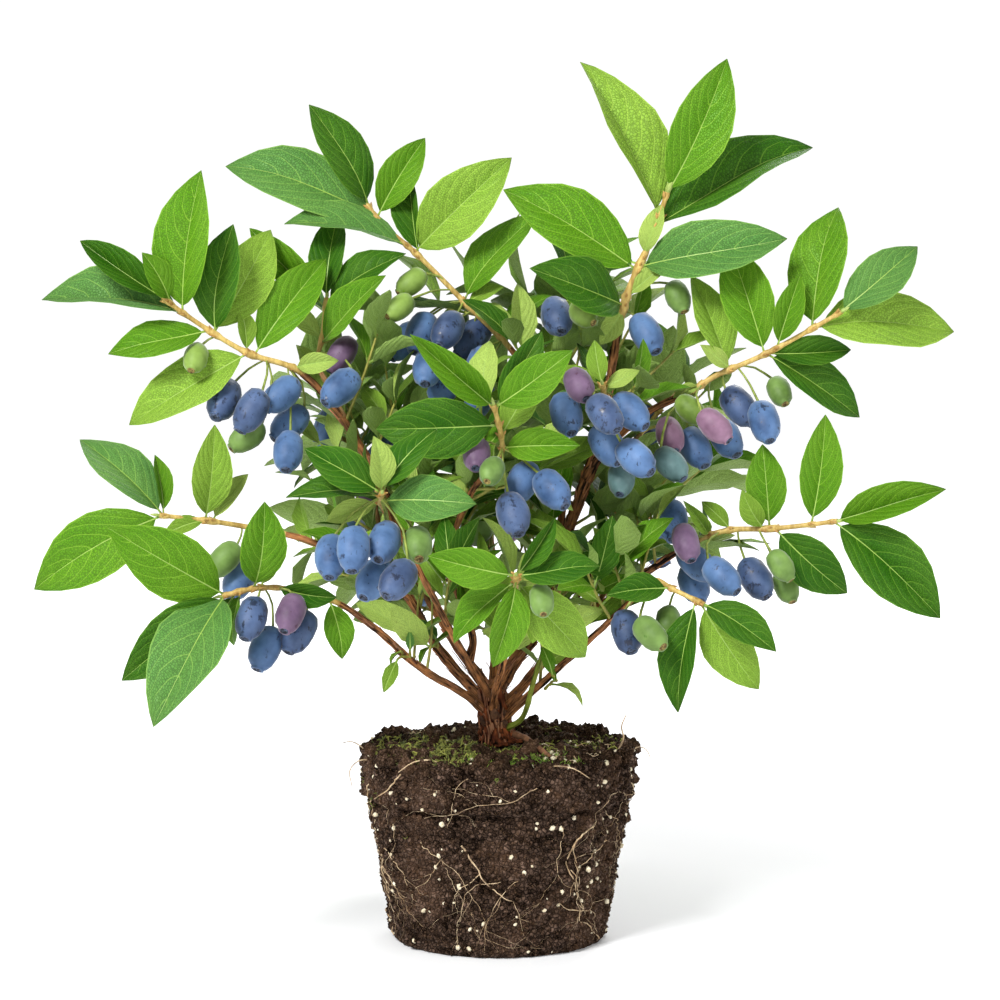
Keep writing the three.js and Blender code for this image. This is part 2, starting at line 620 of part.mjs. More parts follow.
// Opposite leaves in pairs that alternate by a quarter turn, the last pair at the shoot's tip
function growPairs(spray, curve, nodes, length, random, start) {
  for (let node = 0; node < nodes; node += 1) {
    const along = nodeAt(curve, lerp(start, 1, node / (nodes - 1)));
    const ahead = curve.getTangentAt(along);
    const opening = node === nodes - 1 ? HABIT.tipOpening : HABIT.opening;
    const quarter = (node % 2) * Math.PI / 2 + radians(spread(random, HABIT.waver));
    for (const half of [0, Math.PI]) {
      const size = length * (0.82 + random() * 0.36);
      const angle = radians(opening + spread(random, HABIT.waver));
      const roll = radians(spread(random, HABIT.ruleRoll));
      const root = curve.getPointAt(along);
      growLeaf(spray, (extra) => {
        const out = aside(curve, along, quarter + half + extra);
        const along3 = ahead.clone().multiplyScalar(Math.cos(angle)).addScaledVector(out, Math.sin(angle));
        const tip = root.clone().addScaledVector(along3, size);
        const facing = ahead.clone().multiplyScalar(0.7).addScaledVector(UP, 0.9);
        return makeLeaf(root, tip, facing, roll, LEAF.slender, false);
      });
    }
  }
}

// A side twig leaves the shoot and carries two pairs of smaller leaves
function growTwig(spray, along, turn, length, random) {
  const root = spray.curve.getPointAt(along);
  const ahead = spray.curve.getTangentAt(along);
  const way = ahead.clone().multiplyScalar(0.6).addScaledVector(aside(spray.curve, along, turn), 0.8);
  way.addScaledVector(UP, 0.25).normalize();
  const reach = length * (0.75 + random() * 0.3);
  const curve = new THREE.LineCurve3(root, root.clone().addScaledVector(way, reach));
  const balls = [0.35, 0.55, 0.75, 0.95].map((t) => ({ centre: curve.getPointAt(t), radius: TWIG.radius }));
  if (!ballsAreClear(balls, spray.name)) return;
  grown.balls.push(...balls.map((ball) => ({ ...ball, owner: spray.name })));
  spray.twigs.push(curve);
  growPairs(spray, curve, 2, length * 0.9, random, 0.6);
}

function growByRule(spray, rule, random) {
  for (let i = 0; i < rule.berries; i += 1) {
    const along = 0.15 + 0.5 * random();
    const root = spray.curve.getPointAt(along);
    const turn = random() * Math.PI * 2;
    const side = aside(spray.curve, along, turn).multiplyScalar(10).addScaledVector(UP, -12);
    const axis = new THREE.Vector3(spread(random, 0.5), spread(random, 0.5), -1).normalize();
    const ripeness = ['ripe', 'ripe', 'turning', 'green'][Math.floor(random() * 4)];
    growBerry(spray, (out) => (
      makeBerry(root, root.clone().add(side).addScaledVector(UP, -out + 4), axis, BERRY[ripeness])));
  }
  for (let i = 0; i < rule.twigs; i += 1) {
    growTwig(spray, 0.25 + 0.3 * i, i * 2.4 + random(), rule.leaf * 0.8, random);
  }
  growPairs(spray, spray.curve, rule.nodes, rule.leaf, random, 0.2);
}

function spraySolid(spray, bough) {
  const steps = Math.max(2, Math.round(spray.curve.getLength() / SHOOT.step));
  const foot = bough.radius[1];
  const pieces = [limb(spray.curve, SHOOT.sides, steps, (t) => lerp(foot, SHOOT.tip, t))];
  for (const twig of spray.twigs) pieces.push(straight(twig.v1, twig.v2, TWIG.sides, TWIG.radius));
  for (const leaf of spray.leaves) pieces.push(leafSolid(leaf));
  for (const berry of spray.berries) {
    pieces.push(straight(berry.root, berry.top, 3, BERRY_STALK), berrySolid(berry));
  }
  return largestPiece(pieces.reduce((sum, piece) => sum.add(piece)));
}

// Assembly
const shrub = new THREE.Group();

function show(name, body, look) {
  const mesh = new THREE.Mesh(geometryOf(body), new THREE.MeshStandardMaterial(look));
  mesh.name = name;
  shrub.add(mesh);
}

const curves = { trunk: trunkCurve() };
const inflated = { trunk: trunk(CLEARANCE) };
show('root_ball', rootBall(), SOIL);
show('trunk', trunk(), BARK);
addBalls('trunk', curves.trunk, trunkRadius, 3);

const sprays = {};
for (const [name, bough] of Object.entries(BOUGHS)) {
  const { wood, shoot } = boughCurves(bough, curves[bough.from[0]]);
  const radiusAt = (t) => lerp(bough.radius[0], bough.radius[1], t);
  const steps = Math.round(wood.getLength() / 16) + 1;
  let body = limb(wood, 5, steps, radiusAt);
  for (const earlier of Object.values(inflated)) body = largestPiece(body.subtract(earlier));
  inflated[name] = limb(wood, 5, steps, (t) => radiusAt(t) + CLEARANCE);
  curves[name] = wood;
  show(`bough_${name}`, body, bough.radius[1] > 1 ? BARK : YOUNG_BARK);
  addBalls(name, wood, radiusAt, 2);
  sprays[name] = { name: `foliage_${name}`, curve: shoot, leaves: [], berries: [], twigs: [], skipped: 0 };
  addBalls(`foliage_${name}`, shoot, () => (bough.radius[1] + SHOOT.tip) / 2, 2);
}

Object.entries(BOUGHS).forEach(([name, bough], index) => {
  const spray = sprays[name];
  const random = seeded(SEED + index * 101);
  if (bough.rule) growByRule(spray, bough.rule, random);
  else growMeasured(spray, bough, random);
  show(spray.name, spraySolid(spray, bough), FOLIAGE);
});

export default shrub;
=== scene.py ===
# %% [markdown]
# # A haskap shrub on its root ball
# Haskap is a honeysuckle with long blue berries. This one is a young shrub that was lifted out of its pot,
# so it stands on a plug of soil that kept the pot's shape. A short stump forks into thin stems, every stem
# runs on as a leafy shoot, and the berries hang in bunches below the leaves.
#
# We work in the CAD model's frame. The solids already say how big the shrub is and where each stem and
# leaf goes. Blender's part is to grow the same shrub again, with far finer leaves, bark, berries and soil.

# %% Load the frame
import math

import bmesh
import bpy
import numpy as np
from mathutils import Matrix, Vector, noise


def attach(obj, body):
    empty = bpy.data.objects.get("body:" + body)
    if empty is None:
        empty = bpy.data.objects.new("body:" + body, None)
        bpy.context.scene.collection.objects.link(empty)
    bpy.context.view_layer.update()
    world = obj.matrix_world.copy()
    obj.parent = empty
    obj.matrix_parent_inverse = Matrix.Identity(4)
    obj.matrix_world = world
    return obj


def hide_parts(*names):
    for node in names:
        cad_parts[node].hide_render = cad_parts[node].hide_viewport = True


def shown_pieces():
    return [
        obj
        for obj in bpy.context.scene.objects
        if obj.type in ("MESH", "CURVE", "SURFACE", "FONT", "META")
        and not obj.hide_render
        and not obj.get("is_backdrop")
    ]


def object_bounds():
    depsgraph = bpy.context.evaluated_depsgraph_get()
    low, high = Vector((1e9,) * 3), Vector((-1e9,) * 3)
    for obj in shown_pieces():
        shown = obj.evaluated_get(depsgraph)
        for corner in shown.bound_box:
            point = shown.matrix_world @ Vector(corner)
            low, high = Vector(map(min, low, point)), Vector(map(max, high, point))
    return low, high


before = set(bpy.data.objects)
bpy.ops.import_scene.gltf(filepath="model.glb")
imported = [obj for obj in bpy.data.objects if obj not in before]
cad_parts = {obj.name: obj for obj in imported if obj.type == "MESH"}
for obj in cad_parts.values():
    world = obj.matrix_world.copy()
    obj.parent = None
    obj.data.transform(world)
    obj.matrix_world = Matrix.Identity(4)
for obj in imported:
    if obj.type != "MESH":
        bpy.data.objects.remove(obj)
CAD_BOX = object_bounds()
MM = 0.001
print("the CAD box in mm:", [[round(x / MM, 1) for x in corner] for corner in CAD_BOX])

# %% [markdown]
# ## The camera and the light
# The camera comes first, so that every trial picture can be laid beside the photograph. Its height, its
# distance and its lens were worked out from the root ball: a plug 120 mm wide whose rim and foot show how
# far the view looks down. A long lens from about 1.4 m keeps the sides of the pot shape nearly upright.
#
# The set is a pale floor and white light from all around, as in a photographer's light tent. A soft lamp
# above the left shoulder of the camera models the leaves, a second one lifts the shadows, and a third
# behind the shrub draws its edges. The floor glows a little far out, so it stays pale there.

# %% Add objects to the scene
def scene_object(name, data):
    """A new object that shows the given mesh, lamp or camera."""
    made = bpy.data.objects.new(name, data)
    bpy.context.collection.objects.link(made)
    return made


def aimed_object(name, data, place, target):
    """A camera or a lamp that looks from its place at the target."""
    made = scene_object(name, data)
    made.location = place
    made.rotation_euler = (target - place).to_track_quat("-Z", "Y").to_euler()
    return made


def mesh_of(name, points, faces=(), edges=(), unit=1.0):
    """A new mesh. Its points are given in a unit of so many metres."""
    mesh = bpy.data.meshes.new(name)
    mesh.from_pydata([tuple(np.asarray(point) * unit) for point in points], edges, faces)
    return mesh


def set_attribute(mesh, label, kind, values):
    """Writes a number or a vector to each point of a mesh."""
    made = mesh.attributes.new(label, kind, "POINT")
    made.data.foreach_set("value" if kind == "FLOAT" else "vector", np.asarray(values, float).ravel())


# %% Place the camera
CAMERA_PLACE = Vector((0.6, -1358, 309)) * MM
CAMERA_TARGET = Vector((0.6, 0, 191)) * MM
FOCAL_PIXELS = 3148
FRAME_PIXELS = 1000

lens = bpy.data.cameras.new("camera")
lens.sensor_width = 36
lens.lens = lens.sensor_width * FOCAL_PIXELS / FRAME_PIXELS
bpy.context.scene.camera = aimed_object("camera", lens, CAMERA_PLACE, CAMERA_TARGET)
print("the lens is", round(lens.lens, 1), "mm long")


# %% Small helpers for colours and nodes
def rgb(tint, share=1.0):
    """A tint as it is seen on a screen, 0 to 255, turned into the renderer's linear colour."""
    def linear(level):
        level = level * share / 255
        return level / 12.92 if level <= 0.04045 else ((level + 0.055) / 1.055) ** 2.4
    return (*map(linear, tint), 1)


def fill(tree, sockets, values):
    """Fills the named sockets with numbers or with links."""
    for key, value in values.items():
        if isinstance(value, bpy.types.NodeSocket):
            tree.links.new(value, sockets[key])
        else:
            sockets[key].default_value = value


def put(tree, kind, inputs=None, **settings):
    """Adds a node, sets it, and fills its inputs."""
    made = tree.nodes.new(kind)
    for key, value in settings.items():
        setattr(made, key, value)
    fill(tree, made.inputs, inputs or {})
    return made


def sums(tree, operation, *values):
    """One Math node, its result."""
    return put(tree, "ShaderNodeMath", dict(enumerate(values)), operation=operation).outputs[0]


def plus(tree, first, second):
    """The sum of two, through a node. The difference and the product follow."""
    return sums(tree, "ADD", first, second)


def minus(tree, first, second):
    return sums(tree, "SUBTRACT", first, second)


def times(tree, first, second):
    return sums(tree, "MULTIPLY", first, second)


def remap(tree, value, low, high, to_low=0.0, to_high=1.0):
    """Stretches a value from one range to another and stops it at the ends."""
    given = {"Value": value, "From Min": low, "From Max": high, "To Min": to_low, "To Max": to_high}
    return put(tree, "ShaderNodeMapRange", given).outputs[0]


def blend_of(tree, share, first, second):
    """Mixes two colours."""
    mixer = put(tree, "ShaderNodeMix", data_type="RGBA")
    sockets = {one.identifier: one for one in (*mixer.inputs, *mixer.outputs)}
    fill(tree, sockets, {"Factor_Float": share, "A_Color": first, "B_Color": second})
    return sockets["Result_Color"]


def new_material(name, roughness, **constants):
    """A material with its tree and its shader. Constants go on the shader's own sockets."""
    made = bpy.data.materials.new(name)
    made.use_nodes = True
    tree = made.node_tree
    shader = tree.nodes["Principled BSDF"]
    constants = {label.replace("_", " "): value for label, value in constants.items()}
    fill(tree, shader.inputs, {"Roughness": roughness, **constants})
    return made, tree, shader


def place_of(tree, own=False):
    """The mesh's own place attribute, or the object coordinates."""
    if own:
        return put(tree, "ShaderNodeAttribute", attribute_name="place").outputs["Vector"]
    return put(tree, "ShaderNodeTexCoord").outputs["Object"]


# %% Set the light and the floor
scene = bpy.context.scene
scene.view_settings.view_transform = "Standard"
TENT_LIGHT = 0.52
BACKGROUND = 1.05

world = bpy.data.worlds.new("light tent")
world.use_nodes = True
tent = world.node_tree
seen = put(tent, "ShaderNodeLightPath").outputs["Is Camera Ray"]
strength = remap(tent, seen, 0, 1, TENT_LIGHT, BACKGROUND)
fill(tent, tent.nodes["Background"].inputs, {"Color": (1, 1, 1, 1), "Strength": strength})
scene.world = world

# Each soft lamp: its place and the side of its square in metres, and its power in watts
LAMPS = {
    "key_lamp": ((-0.8, -1.3, 1.4), 0.55, 46),
    "fill_lamp": ((1.3, -0.9, 0.7), 1.0, 8),
    "back_lamp": ((0.4, 1.3, 1.3), 0.8, 14),
}
SHRUB_MIDDLE = Vector((0, 0, 0.2))
for name, (place, size, power) in LAMPS.items():
    lamp = bpy.data.lights.new(name, "AREA")
    lamp.size, lamp.energy = size, power
    aimed_object(name, lamp, Vector(place), SHRUB_MIDDLE)

FLOOR_HALF, FLOOR_DROP = 6, 0.2 * MM
FLOOR_COLOR, FLOOR_GLOW = (0.9, 0.905, 0.915, 1), 0.56
paint, tree, shader = new_material("pale_floor", 0.5, Base_Color=FLOOR_COLOR, Emission_Strength=FLOOR_GLOW)
far = put(tree, "ShaderNodeVectorMath", {0: place_of(tree)}, operation="LENGTH").outputs["Value"]
glow = blend_of(tree, remap(tree, far, 0.1, 1.1), (0.1, 0.1, 0.1, 1), (1, 1, 1, 1))
fill(tree, shader.inputs, {"Emission Color": glow})
corners = [(x * FLOOR_HALF, y * FLOOR_HALF, -FLOOR_DROP) for x, y in ((-1, -1), (1, -1), (1, 1), (-1, 1))]
floor = scene_object("floor", mesh_of("floor", corners, [(0, 1, 2, 3)]))
floor.data.materials.append(paint)
floor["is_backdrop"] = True
print(len(LAMPS), "lamps, a white world and a floor", 2 * FLOOR_HALF, "m wide")

# %% [markdown]
# ## The plan of the shrub
# The table below is the CAD source's own table, with the same numbers in millimetres. A row names one stem:
# the limb it leaves, the places it bends through, and the shoot that runs on from its tip. Rows with
# leaves and fruit follow the front of the real shrub, leaf by leaf. Each of those says how far along the
# shoot it sits, the clock angle of its tip and its reach from the shoot. Rows with a rule fill the back and
# the heart of the crown, which no picture shows.

# %% The stems
BALL = {"height": 84, "rim": 60, "band": 20, "step": 2.5, "foot": 47, "edge": 1.5}
LUMP = {"x": 22, "y": 24, "rise": 5, "spread": 8}
TRUNK = {"top": (-3, 1, 109), "middle": (-2, 0, 97), "flare": 9.5, "neck": 6.6, "head": 5.8}
BOUGHS = {
  "leader": {
    "from": ["trunk", 0.85], "radius": [3.1, 1.7],
    "wood": [[6, 2, 119], [16, 4, 133], [28, 2, 171], [44, -2, 221], [52, -3, 268]],
    "shoot": [[56, -4, 282], [65, -8, 303], [72, -12, 324]],
    "leaves": [[0.81, 117, 74], [1, 66, 63], [0.74, 26, 77], [0.39, 149, 67], [0.42, 11, 63],
      [0.12, 158, 44], [0.44, 165, 32], [0.5, 71, 24], [0.19, 38, 24], [0.09, 236, 18]],
    "fruit": [[0.06, 183, 28, "ripe"], [0.06, 181, 17, "green"], [0.08, 317, 14, "ripe"],
      [0.18, 1, 22, "green"]],
  },
  "upper_left": {
    "from": ["trunk", 0.8], "radius": [2.5, 1.4],
    "wood": [[-8, 6, 112], [-16, 8, 123], [-37, 12, 160], [-58, 8, 210], [-85, 0, 246]],
    "shoot": [[-108, -6, 255], [-133, -12, 271], [-143, -16, 279]],
    "leaves": [[0.84, 81, 61], [0.97, 146, 45], [0.83, 175, 63], [0.94, 116, 24], [0.64, 193, 44],
      [0.61, 62, 50], [0.59, 80, 48], [0.36, 211, 60], [0.32, 54, 51], [0.05, 10, 20], [0.37, 99, 20]],
    "fruit": [[0.24, 224, 25, "ripe"], [0.24, 256, 22, "ripe"], [0.17, 279, 14, "ripe"],
      [0.12, 274, 26, "ripe"], [0.23, 255, 34, "turning"], [0.1, 272, 36, "ripe"],
      [0.58, 226, 13, "green"]],
  },
  "left": {
    "from": ["trunk", 0.62], "radius": [2.4, 1.3],
    "wood": [[-11, 2, 108], [-27, 1, 127], [-44, -2, 155], [-75, -4, 171], [-93, -6, 177]],
    "shoot": [[-108, -8, 180], [-124, -12, 183], [-145, -18, 186]],
    "leaves": [[1, 140, 49], [0.99, 210, 66], [0.63, 83, 42], [0.57, 53, 25], [0.98, 99, 26],
      [0.62, 198, 19]],
    "fruit": [[0.33, 242, 16, "turning"], [0.28, 259, 24, "ripe"]],
  },
  "low_left": {
    "from": ["trunk", 0.4], "radius": [2, 1.2],
    "wood": [[-12, -5, 105], [-34, -14, 120], [-51, -26, 137], [-68, -40, 151]],
    "shoot": [[-83, -48, 157], [-99, -54, 159], [-115, -58, 156]],
    "leaves": [[1, 147, 55], [1, 219, 54], [1, 242, 55], [0.88, 245, 33], [0.74, 81, 38],
      [0.56, 350, 26], [0.06, 282, 26], [0.67, 73, 23], [0.84, 260, 25]],
    "fruit": [[0.68, 255, 12, "ripe"], [0.56, 306, 12, "turning"], [0.5, 289, 20, "ripe"],
      [0.65, 270, 26, "ripe"]],
  },
  "right_low": {
    "from": ["trunk", 0.5], "radius": [2.2, 1.3],
    "wood": [[9, 0, 108], [25, -2, 127], [48, -8, 149], [75, -16, 169], [86, -20, 176]],
    "shoot": [[98, -22, 180], [115, -26, 181], [131, -30, 183], [143, -34, 185]],
    "leaves": [[0.51, 95, 36], [0.81, 83, 47], [1, 18, 48], [0.99, 318, 61], [0.55, 318, 42],
      [0.47, 120, 20], [0.23, 136, 17], [0.05, 126, 20]],
    "fruit": [[0, 157, 17, "ripe"], [0.02, 185, 11, "turning"], [0.03, 242, 12, "ripe"],
      [0.02, 254, 22, "ripe"], [0.15, 267, 16, "ripe"], [0.14, 269, 28, "turning"],
      [0.28, 290, 22, "ripe"], [0.43, 301, 17, "green"], [0.43, 296, 28, "green"]],
  },
  "low_right": {
    "from": ["trunk", 0.3], "radius": [1.8, 1.1],
    "wood": [[8, -7, 102], [31, -18, 125], [53, -40, 149], [65, -52, 162]],
    "shoot": [[72, -58, 159], [79, -62, 156], [85, -64, 153]],
    "leaves": [[0.36, 184, 27], [0.85, 261, 47], [1, 304, 44], [0.96, 329, 35]],
    "fruit": [[0.2, 232, 25, "ripe"], [0.2, 252, 20, "turning"], [0.46, 258, 14, "green"]],
  },
  "front": {
    "from": ["trunk", 0.55], "radius": [1.8, 1.1],
    "wood": [[-2, -12, 106], [2, -45, 127], [5, -82, 151], [7, -98, 164]],
    "shoot": [[7, -106, 168], [7, -114, 171]],
    "leaves": [[0.97, 166, 36], [1, 7, 41], [0.48, 226, 36], [0.61, 255, 36], [0.44, 311, 43],
      [1, 56, 28]],
    "fruit": [[0.59, 322, 13, "green"]],
  },
  "front_left": {
    "from": ["trunk", 0.75], "radius": [1.7, 1.1],
    "wood": [[-7, -10, 112], [-18, -34, 134], [-35, -62, 171], [-47, -76, 194]],
    "shoot": [[-48, -84, 199], [-47, -93, 202]],
    "leaves": [[1, 149, 36], [0.64, 180, 38], [1, 97, 24], [1, 49, 34], [0.31, 0, 39],
      [0.16, 199, 24]],
    "fruit": [[0.54, 230, 31, "ripe"], [0.54, 242, 22, "ripe"], [0.54, 275, 18, "ripe"],
      [0.51, 309, 24, "turning"], [0.54, 265, 34, "ripe"], [0.54, 284, 32, "ripe"]],
  },
  "centre": {
    "from": ["upper_left", 0.12], "radius": [1.7, 1.1],
    "wood": [[-11, 3, 129], [-17, 0, 148], [-21, -12, 166], [-12, -30, 196], [1, -48, 214]],
    "shoot": [[1, -56, 223], [-2, -66, 236]],
    "leaves": [[1, 138, 46], [0.61, 182, 51], [1, 58, 37], [0.97, 37, 40], [0.41, 61, 28],
      [0.05, 4, 32]],
    "fruit": [[0.01, 192, 11, "turning"], [0.01, 241, 9, "green"], [0, 248, 18, "ripe"],
      [0.02, 301, 16, "ripe"], [0, 322, 26, "ripe"], [0, 280, 26, "ripe"]],
  },
  "right_upper": {
    "from": ["leader", 0.6], "radius": [2, 1.3],
    "wood": [[45, -3, 212], [53, -6, 221], [68, -10, 232], [83, -12, 239]],
    "shoot": [[92, -13, 245], [112, -16, 254], [130, -20, 264], [145, -24, 273]],
    "leaves": [[0.8, 76, 53], [1, 39, 45], [0.81, 358, 62], [0.49, 2, 37], [0.49, 326, 50],
      [0.48, 108, 50], [0.25, 112, 43], [0.56, 73, 33], [0.26, 142, 17], [0.03, 204, 13]],
    "fruit": [[0, 238, 25, "turning"], [0, 243, 11, "green"], [0.03, 266, 27, "ripe"],
      [0.07, 283, 17, "turning"], [0.21, 295, 16, "ripe"], [0.3, 295, 25, "ripe"],
      [0.12, 287, 27, "ripe"], [0.31, 328, 21, "green"], [0, 247, 35, "turning"]],
  },
  "top_left": {
    "from": ["leader", 0.36], "radius": [1.9, 1.3],
    "wood": [[28, 8, 190], [28, 10, 205], [21, 16, 231], [5, 20, 256]],
    "shoot": [[-13, 22, 274], [-36, 26, 297], [-52, 28, 311], [-58, 30, 319]],
    "leaves": [[1, 120, 51], [0.93, 162, 69], [0.71, 170, 54], [0.91, 59, 41], [0.63, 97, 40],
      [0.66, 44, 59], [0.32, 50, 50], [0.3, 25, 18], [0.08, 37, 29], [0.28, 341, 21]],
    "fruit": [[0.4, 170, 18, "green"], [0.4, 198, 24, "green"], [0.32, 216, 23, "ripe"],
      [0.32, 214, 32, "ripe"], [0.32, 241, 14, "ripe"], [0.06, 180, 13, "ripe"],
      [0.02, 225, 14, "ripe"], [0.26, 232, 31, "ripe"], [0.23, 246, 34, "ripe"],
      [0.05, 247, 27, "ripe"]],
  },
  "centre_right": {
    "from": ["leader", 0.68], "radius": [1.4, 1],
    "wood": [[46, -14, 224], [46, -28, 229], [45, -40, 237]],
    "shoot": [[44, -45, 240], [43, -52, 244]],
    "leaves": [[0.59, 154, 20], [0.65, 27, 17], [0.1, 208, 24], [1, 100, 19]],
    "fruit": [[0.72, 173, 10, "turning"], [0.33, 209, 18, "ripe"], [0.62, 270, 9, "ripe"],
      [0.29, 273, 21, "ripe"], [0.53, 323, 14, "ripe"], [0.24, 296, 28, "ripe"],
      [0.24, 282, 36, "turning"]],
  },
  "left_top": {
    "from": ["upper_left", 0.84], "radius": [1.4, 1],
    "wood": [[-74, 9, 240], [-79, 12, 250]],
    "shoot": [[-77, 14, 260], [-76, 16, 269], [-75, 18, 278]],
    "leaves": [[1, 83, 39], [0.85, 134, 48], [0.87, 33, 42], [0.28, 46, 42], [0.37, 137, 21]],
    "fruit": [[0.27, 336, 10, "turning"], [0.16, 306, 18, "ripe"]],
  },
  "low_centre": {
    "from": ["trunk", 0.2], "radius": [1.3, 0.9],
    "wood": [[10, -9, 97], [15, -15, 114], [21, -18, 135]],
    "shoot": [[25, -20, 150], [29, -22, 166]],
    "rule": { "nodes": 2, "leaf": 26, "twigs": 0, "berries": 0 },
  },
  "back": {
    "from": ["trunk", 0.7], "radius": [2.1, 1.2],
    "wood": [[-2, 12, 114], [-2, 40, 142], [-4, 72, 176]],
    "shoot": [[-6, 88, 196], [-10, 98, 218]],
    "rule": { "nodes": 4, "leaf": 50, "twigs": 2, "berries": 5 },
  },
  "back_left": {
    "from": ["upper_left", 0.42], "radius": [1.7, 1.1],
    "wood": [[-46, 26, 186], [-58, 44, 200]],
    "shoot": [[-70, 60, 214], [-80, 74, 232]],
    "rule": { "nodes": 4, "leaf": 48, "twigs": 2, "berries": 4 },
  },
  "back_low": {
    "from": ["back", 0.45], "radius": [1.5, 1.1],
    "wood": [[-16, 52, 148], [-32, 66, 152]],
    "shoot": [[-50, 78, 156], [-66, 88, 164]],
    "rule": { "nodes": 3, "leaf": 44, "twigs": 1, "berries": 3 },
  },
  "back_right": {
    "from": ["right_low", 0.28], "radius": [1.8, 1.1],
    "wood": [[34, 18, 146], [52, 40, 166]],
    "shoot": [[68, 58, 180], [84, 74, 192]],
    "rule": { "nodes": 4, "leaf": 48, "twigs": 2, "berries": 4 },
  },
  "back_top": {
    "from": ["top_left", 0.5], "radius": [1.5, 1],
    "wood": [[28, 30, 230], [30, 44, 244]],
    "shoot": [[32, 58, 260], [34, 66, 282]],
    "rule": { "nodes": 3, "leaf": 46, "twigs": 2, "berries": 4 },
  },
  "inner_left": {
    "from": ["left", 0.5], "radius": [1.4, 1],
    "wood": [[-52, 14, 178], [-54, 22, 190]],
    "shoot": [[-50, 28, 206], [-44, 34, 226]],
    "rule": { "nodes": 3, "leaf": 34, "twigs": 2, "berries": 3 },
  },
  "inner_centre": {
    "from": ["leader", 0.28], "radius": [1.5, 1],
    "wood": [[14, 18, 168], [6, 26, 180]],
    "shoot": [[-4, 32, 198], [-12, 36, 220]],
    "rule": { "nodes": 3, "leaf": 36, "twigs": 2, "berries": 2 },
  },
  "inner_right": {
    "from": ["right_upper", 0.3], "radius": [1.4, 1],
    "wood": [[58, 8, 216], [62, 20, 218]],
    "shoot": [[68, 32, 224], [78, 42, 236]],
    "rule": { "nodes": 3, "leaf": 36, "twigs": 1, "berries": 3 },
  },
  "inner_low": {
    "from": ["right_low", 0.52], "radius": [1.4, 1],
    "wood": [[52, 0, 164], [50, 6, 174]],
    "shoot": [[52, 10, 188], [56, 14, 204]],
    "rule": { "nodes": 3, "leaf": 32, "twigs": 1, "berries": 0 },
  },
}
print(len(BOUGHS), "stems")

# %% [markdown]
# ## Curves that match the source
# The CAD source bends its stems along a centripetal Catmull-Rom curve, a smooth curve that passes through
# every point it is given. Blender's own curves are Bezier, NURBS or a plainer Catmull-Rom, so they would
# wander off the solids by a millimetre or two. We write the same curve again instead: it is one cubic per
# stretch, and a list of lengths along it turns "a third of the way" into a place.


# %% A curve through points
def vec(*xyz):
    return np.array(xyz, float)


UP = vec(0, 0, 1)


def size_of(v):
    return math.sqrt(v @ v)


def unit(v):
    return v / size_of(v)


def cross(a, b):
    return np.array((a[1] * b[2] - a[2] * b[1], a[2] * b[0] - a[0] * b[2], a[0] * b[1] - a[1] * b[0]))


def turned(v, axis, angle):
    """A vector turned about an axis of length one."""
    c, s = math.cos(angle), math.sin(angle)
    return v * c + cross(axis, v) * s + axis * (axis @ v) * (1 - c)


def between(a, b, share):
    return a + (b - a) * share


class Bend:
    """A centripetal Catmull-Rom curve, read by the share of its length."""

    def __init__(self, points, divisions=200):
        self.points = [np.array(point, float) for point in points]
        self.divisions = divisions
        self.marks = None

    def point(self, t):
        """The place at a share of the stretches: each has the same share, however long it is."""
        points, last = self.points, len(self.points) - 1
        at = min(int(last * t), last - 1)
        share = last * t - at
        p1, p2 = points[at], points[at + 1]
        p0 = points[at - 1] if at > 0 else 2 * p1 - p2
        p3 = points[at + 2] if at + 2 <= last else 2 * p2 - p1
        gaps = [math.sqrt(size_of(b - a)) for a, b in ((p0, p1), (p1, p2), (p2, p3))]
        pull1 = (p1 - p0) / gaps[0] - (p2 - p0) / (gaps[0] + gaps[1]) + (p2 - p1) / gaps[1]
        pull2 = (p2 - p1) / gaps[1] - (p3 - p1) / (gaps[1] + gaps[2]) + (p3 - p2) / gaps[2]
        pull1, pull2 = pull1 * gaps[1], pull2 * gaps[1]
        third = 2 * p1 - 2 * p2 + pull1 + pull2
        second = 3 * p2 - 3 * p1 - 2 * pull1 - pull2
        return p1 + share * (pull1 + share * (second + share * third))

    def lengths(self):
        if self.marks is None:
            line = np.array([self.point(i / self.divisions) for i in range(self.divisions + 1)])
            steps = np.linalg.norm(np.diff(line, axis=0), axis=1)
            self.marks = np.concatenate(((0,), np.cumsum(steps)))
        return self.marks

    def length(self):
        return float(self.lengths()[-1])

    def share_at(self, u):
        marks = self.lengths()
        return float(np.interp(u * marks[-1], marks, np.linspace(0, 1, len(marks))))

    def at(self, u):
        return self.point(self.share_at(min(max(u, 0), 1)))

    def ahead(self, u):
        t = self.share_at(u)
        return unit(self.point(min(t + 1e-4, 1)) - self.point(max(t - 1e-4, 0)))


class Stretch(Bend):
    """Part of a longer curve, between two lengths along it."""

    def __init__(self, whole, start, end):
        super().__init__([])
        self.whole, self.start, self.end = whole, start / whole.length(), end / whole.length()

    def point(self, t):
        return self.whole.at(min(1, between(self.start, self.end, t)))


class Straight(Bend):
    """A straight twig."""

    def point(self, t):
        return between(self.points[0], self.points[-1], t)


CLEARANCE = 0.3
FINE_DIVISIONS = 400


def bough_curves(bough, parent):
    """The curve of a bough's wood, and that of the shoot that goes on from its tip."""
    wood = [parent.at(bough["from"][1])] + bough["wood"]
    whole = Bend(wood + bough["shoot"], FINE_DIVISIONS)
    share = (len(wood) - 1) / (len(whole.points) - 1)
    tip = whole.lengths()[round(share * FINE_DIVISIONS)]
    shoot = Stretch(whole, tip + CLEARANCE / 2, whole.length())
    return Stretch(whole, 0, tip - CLEARANCE / 2), shoot


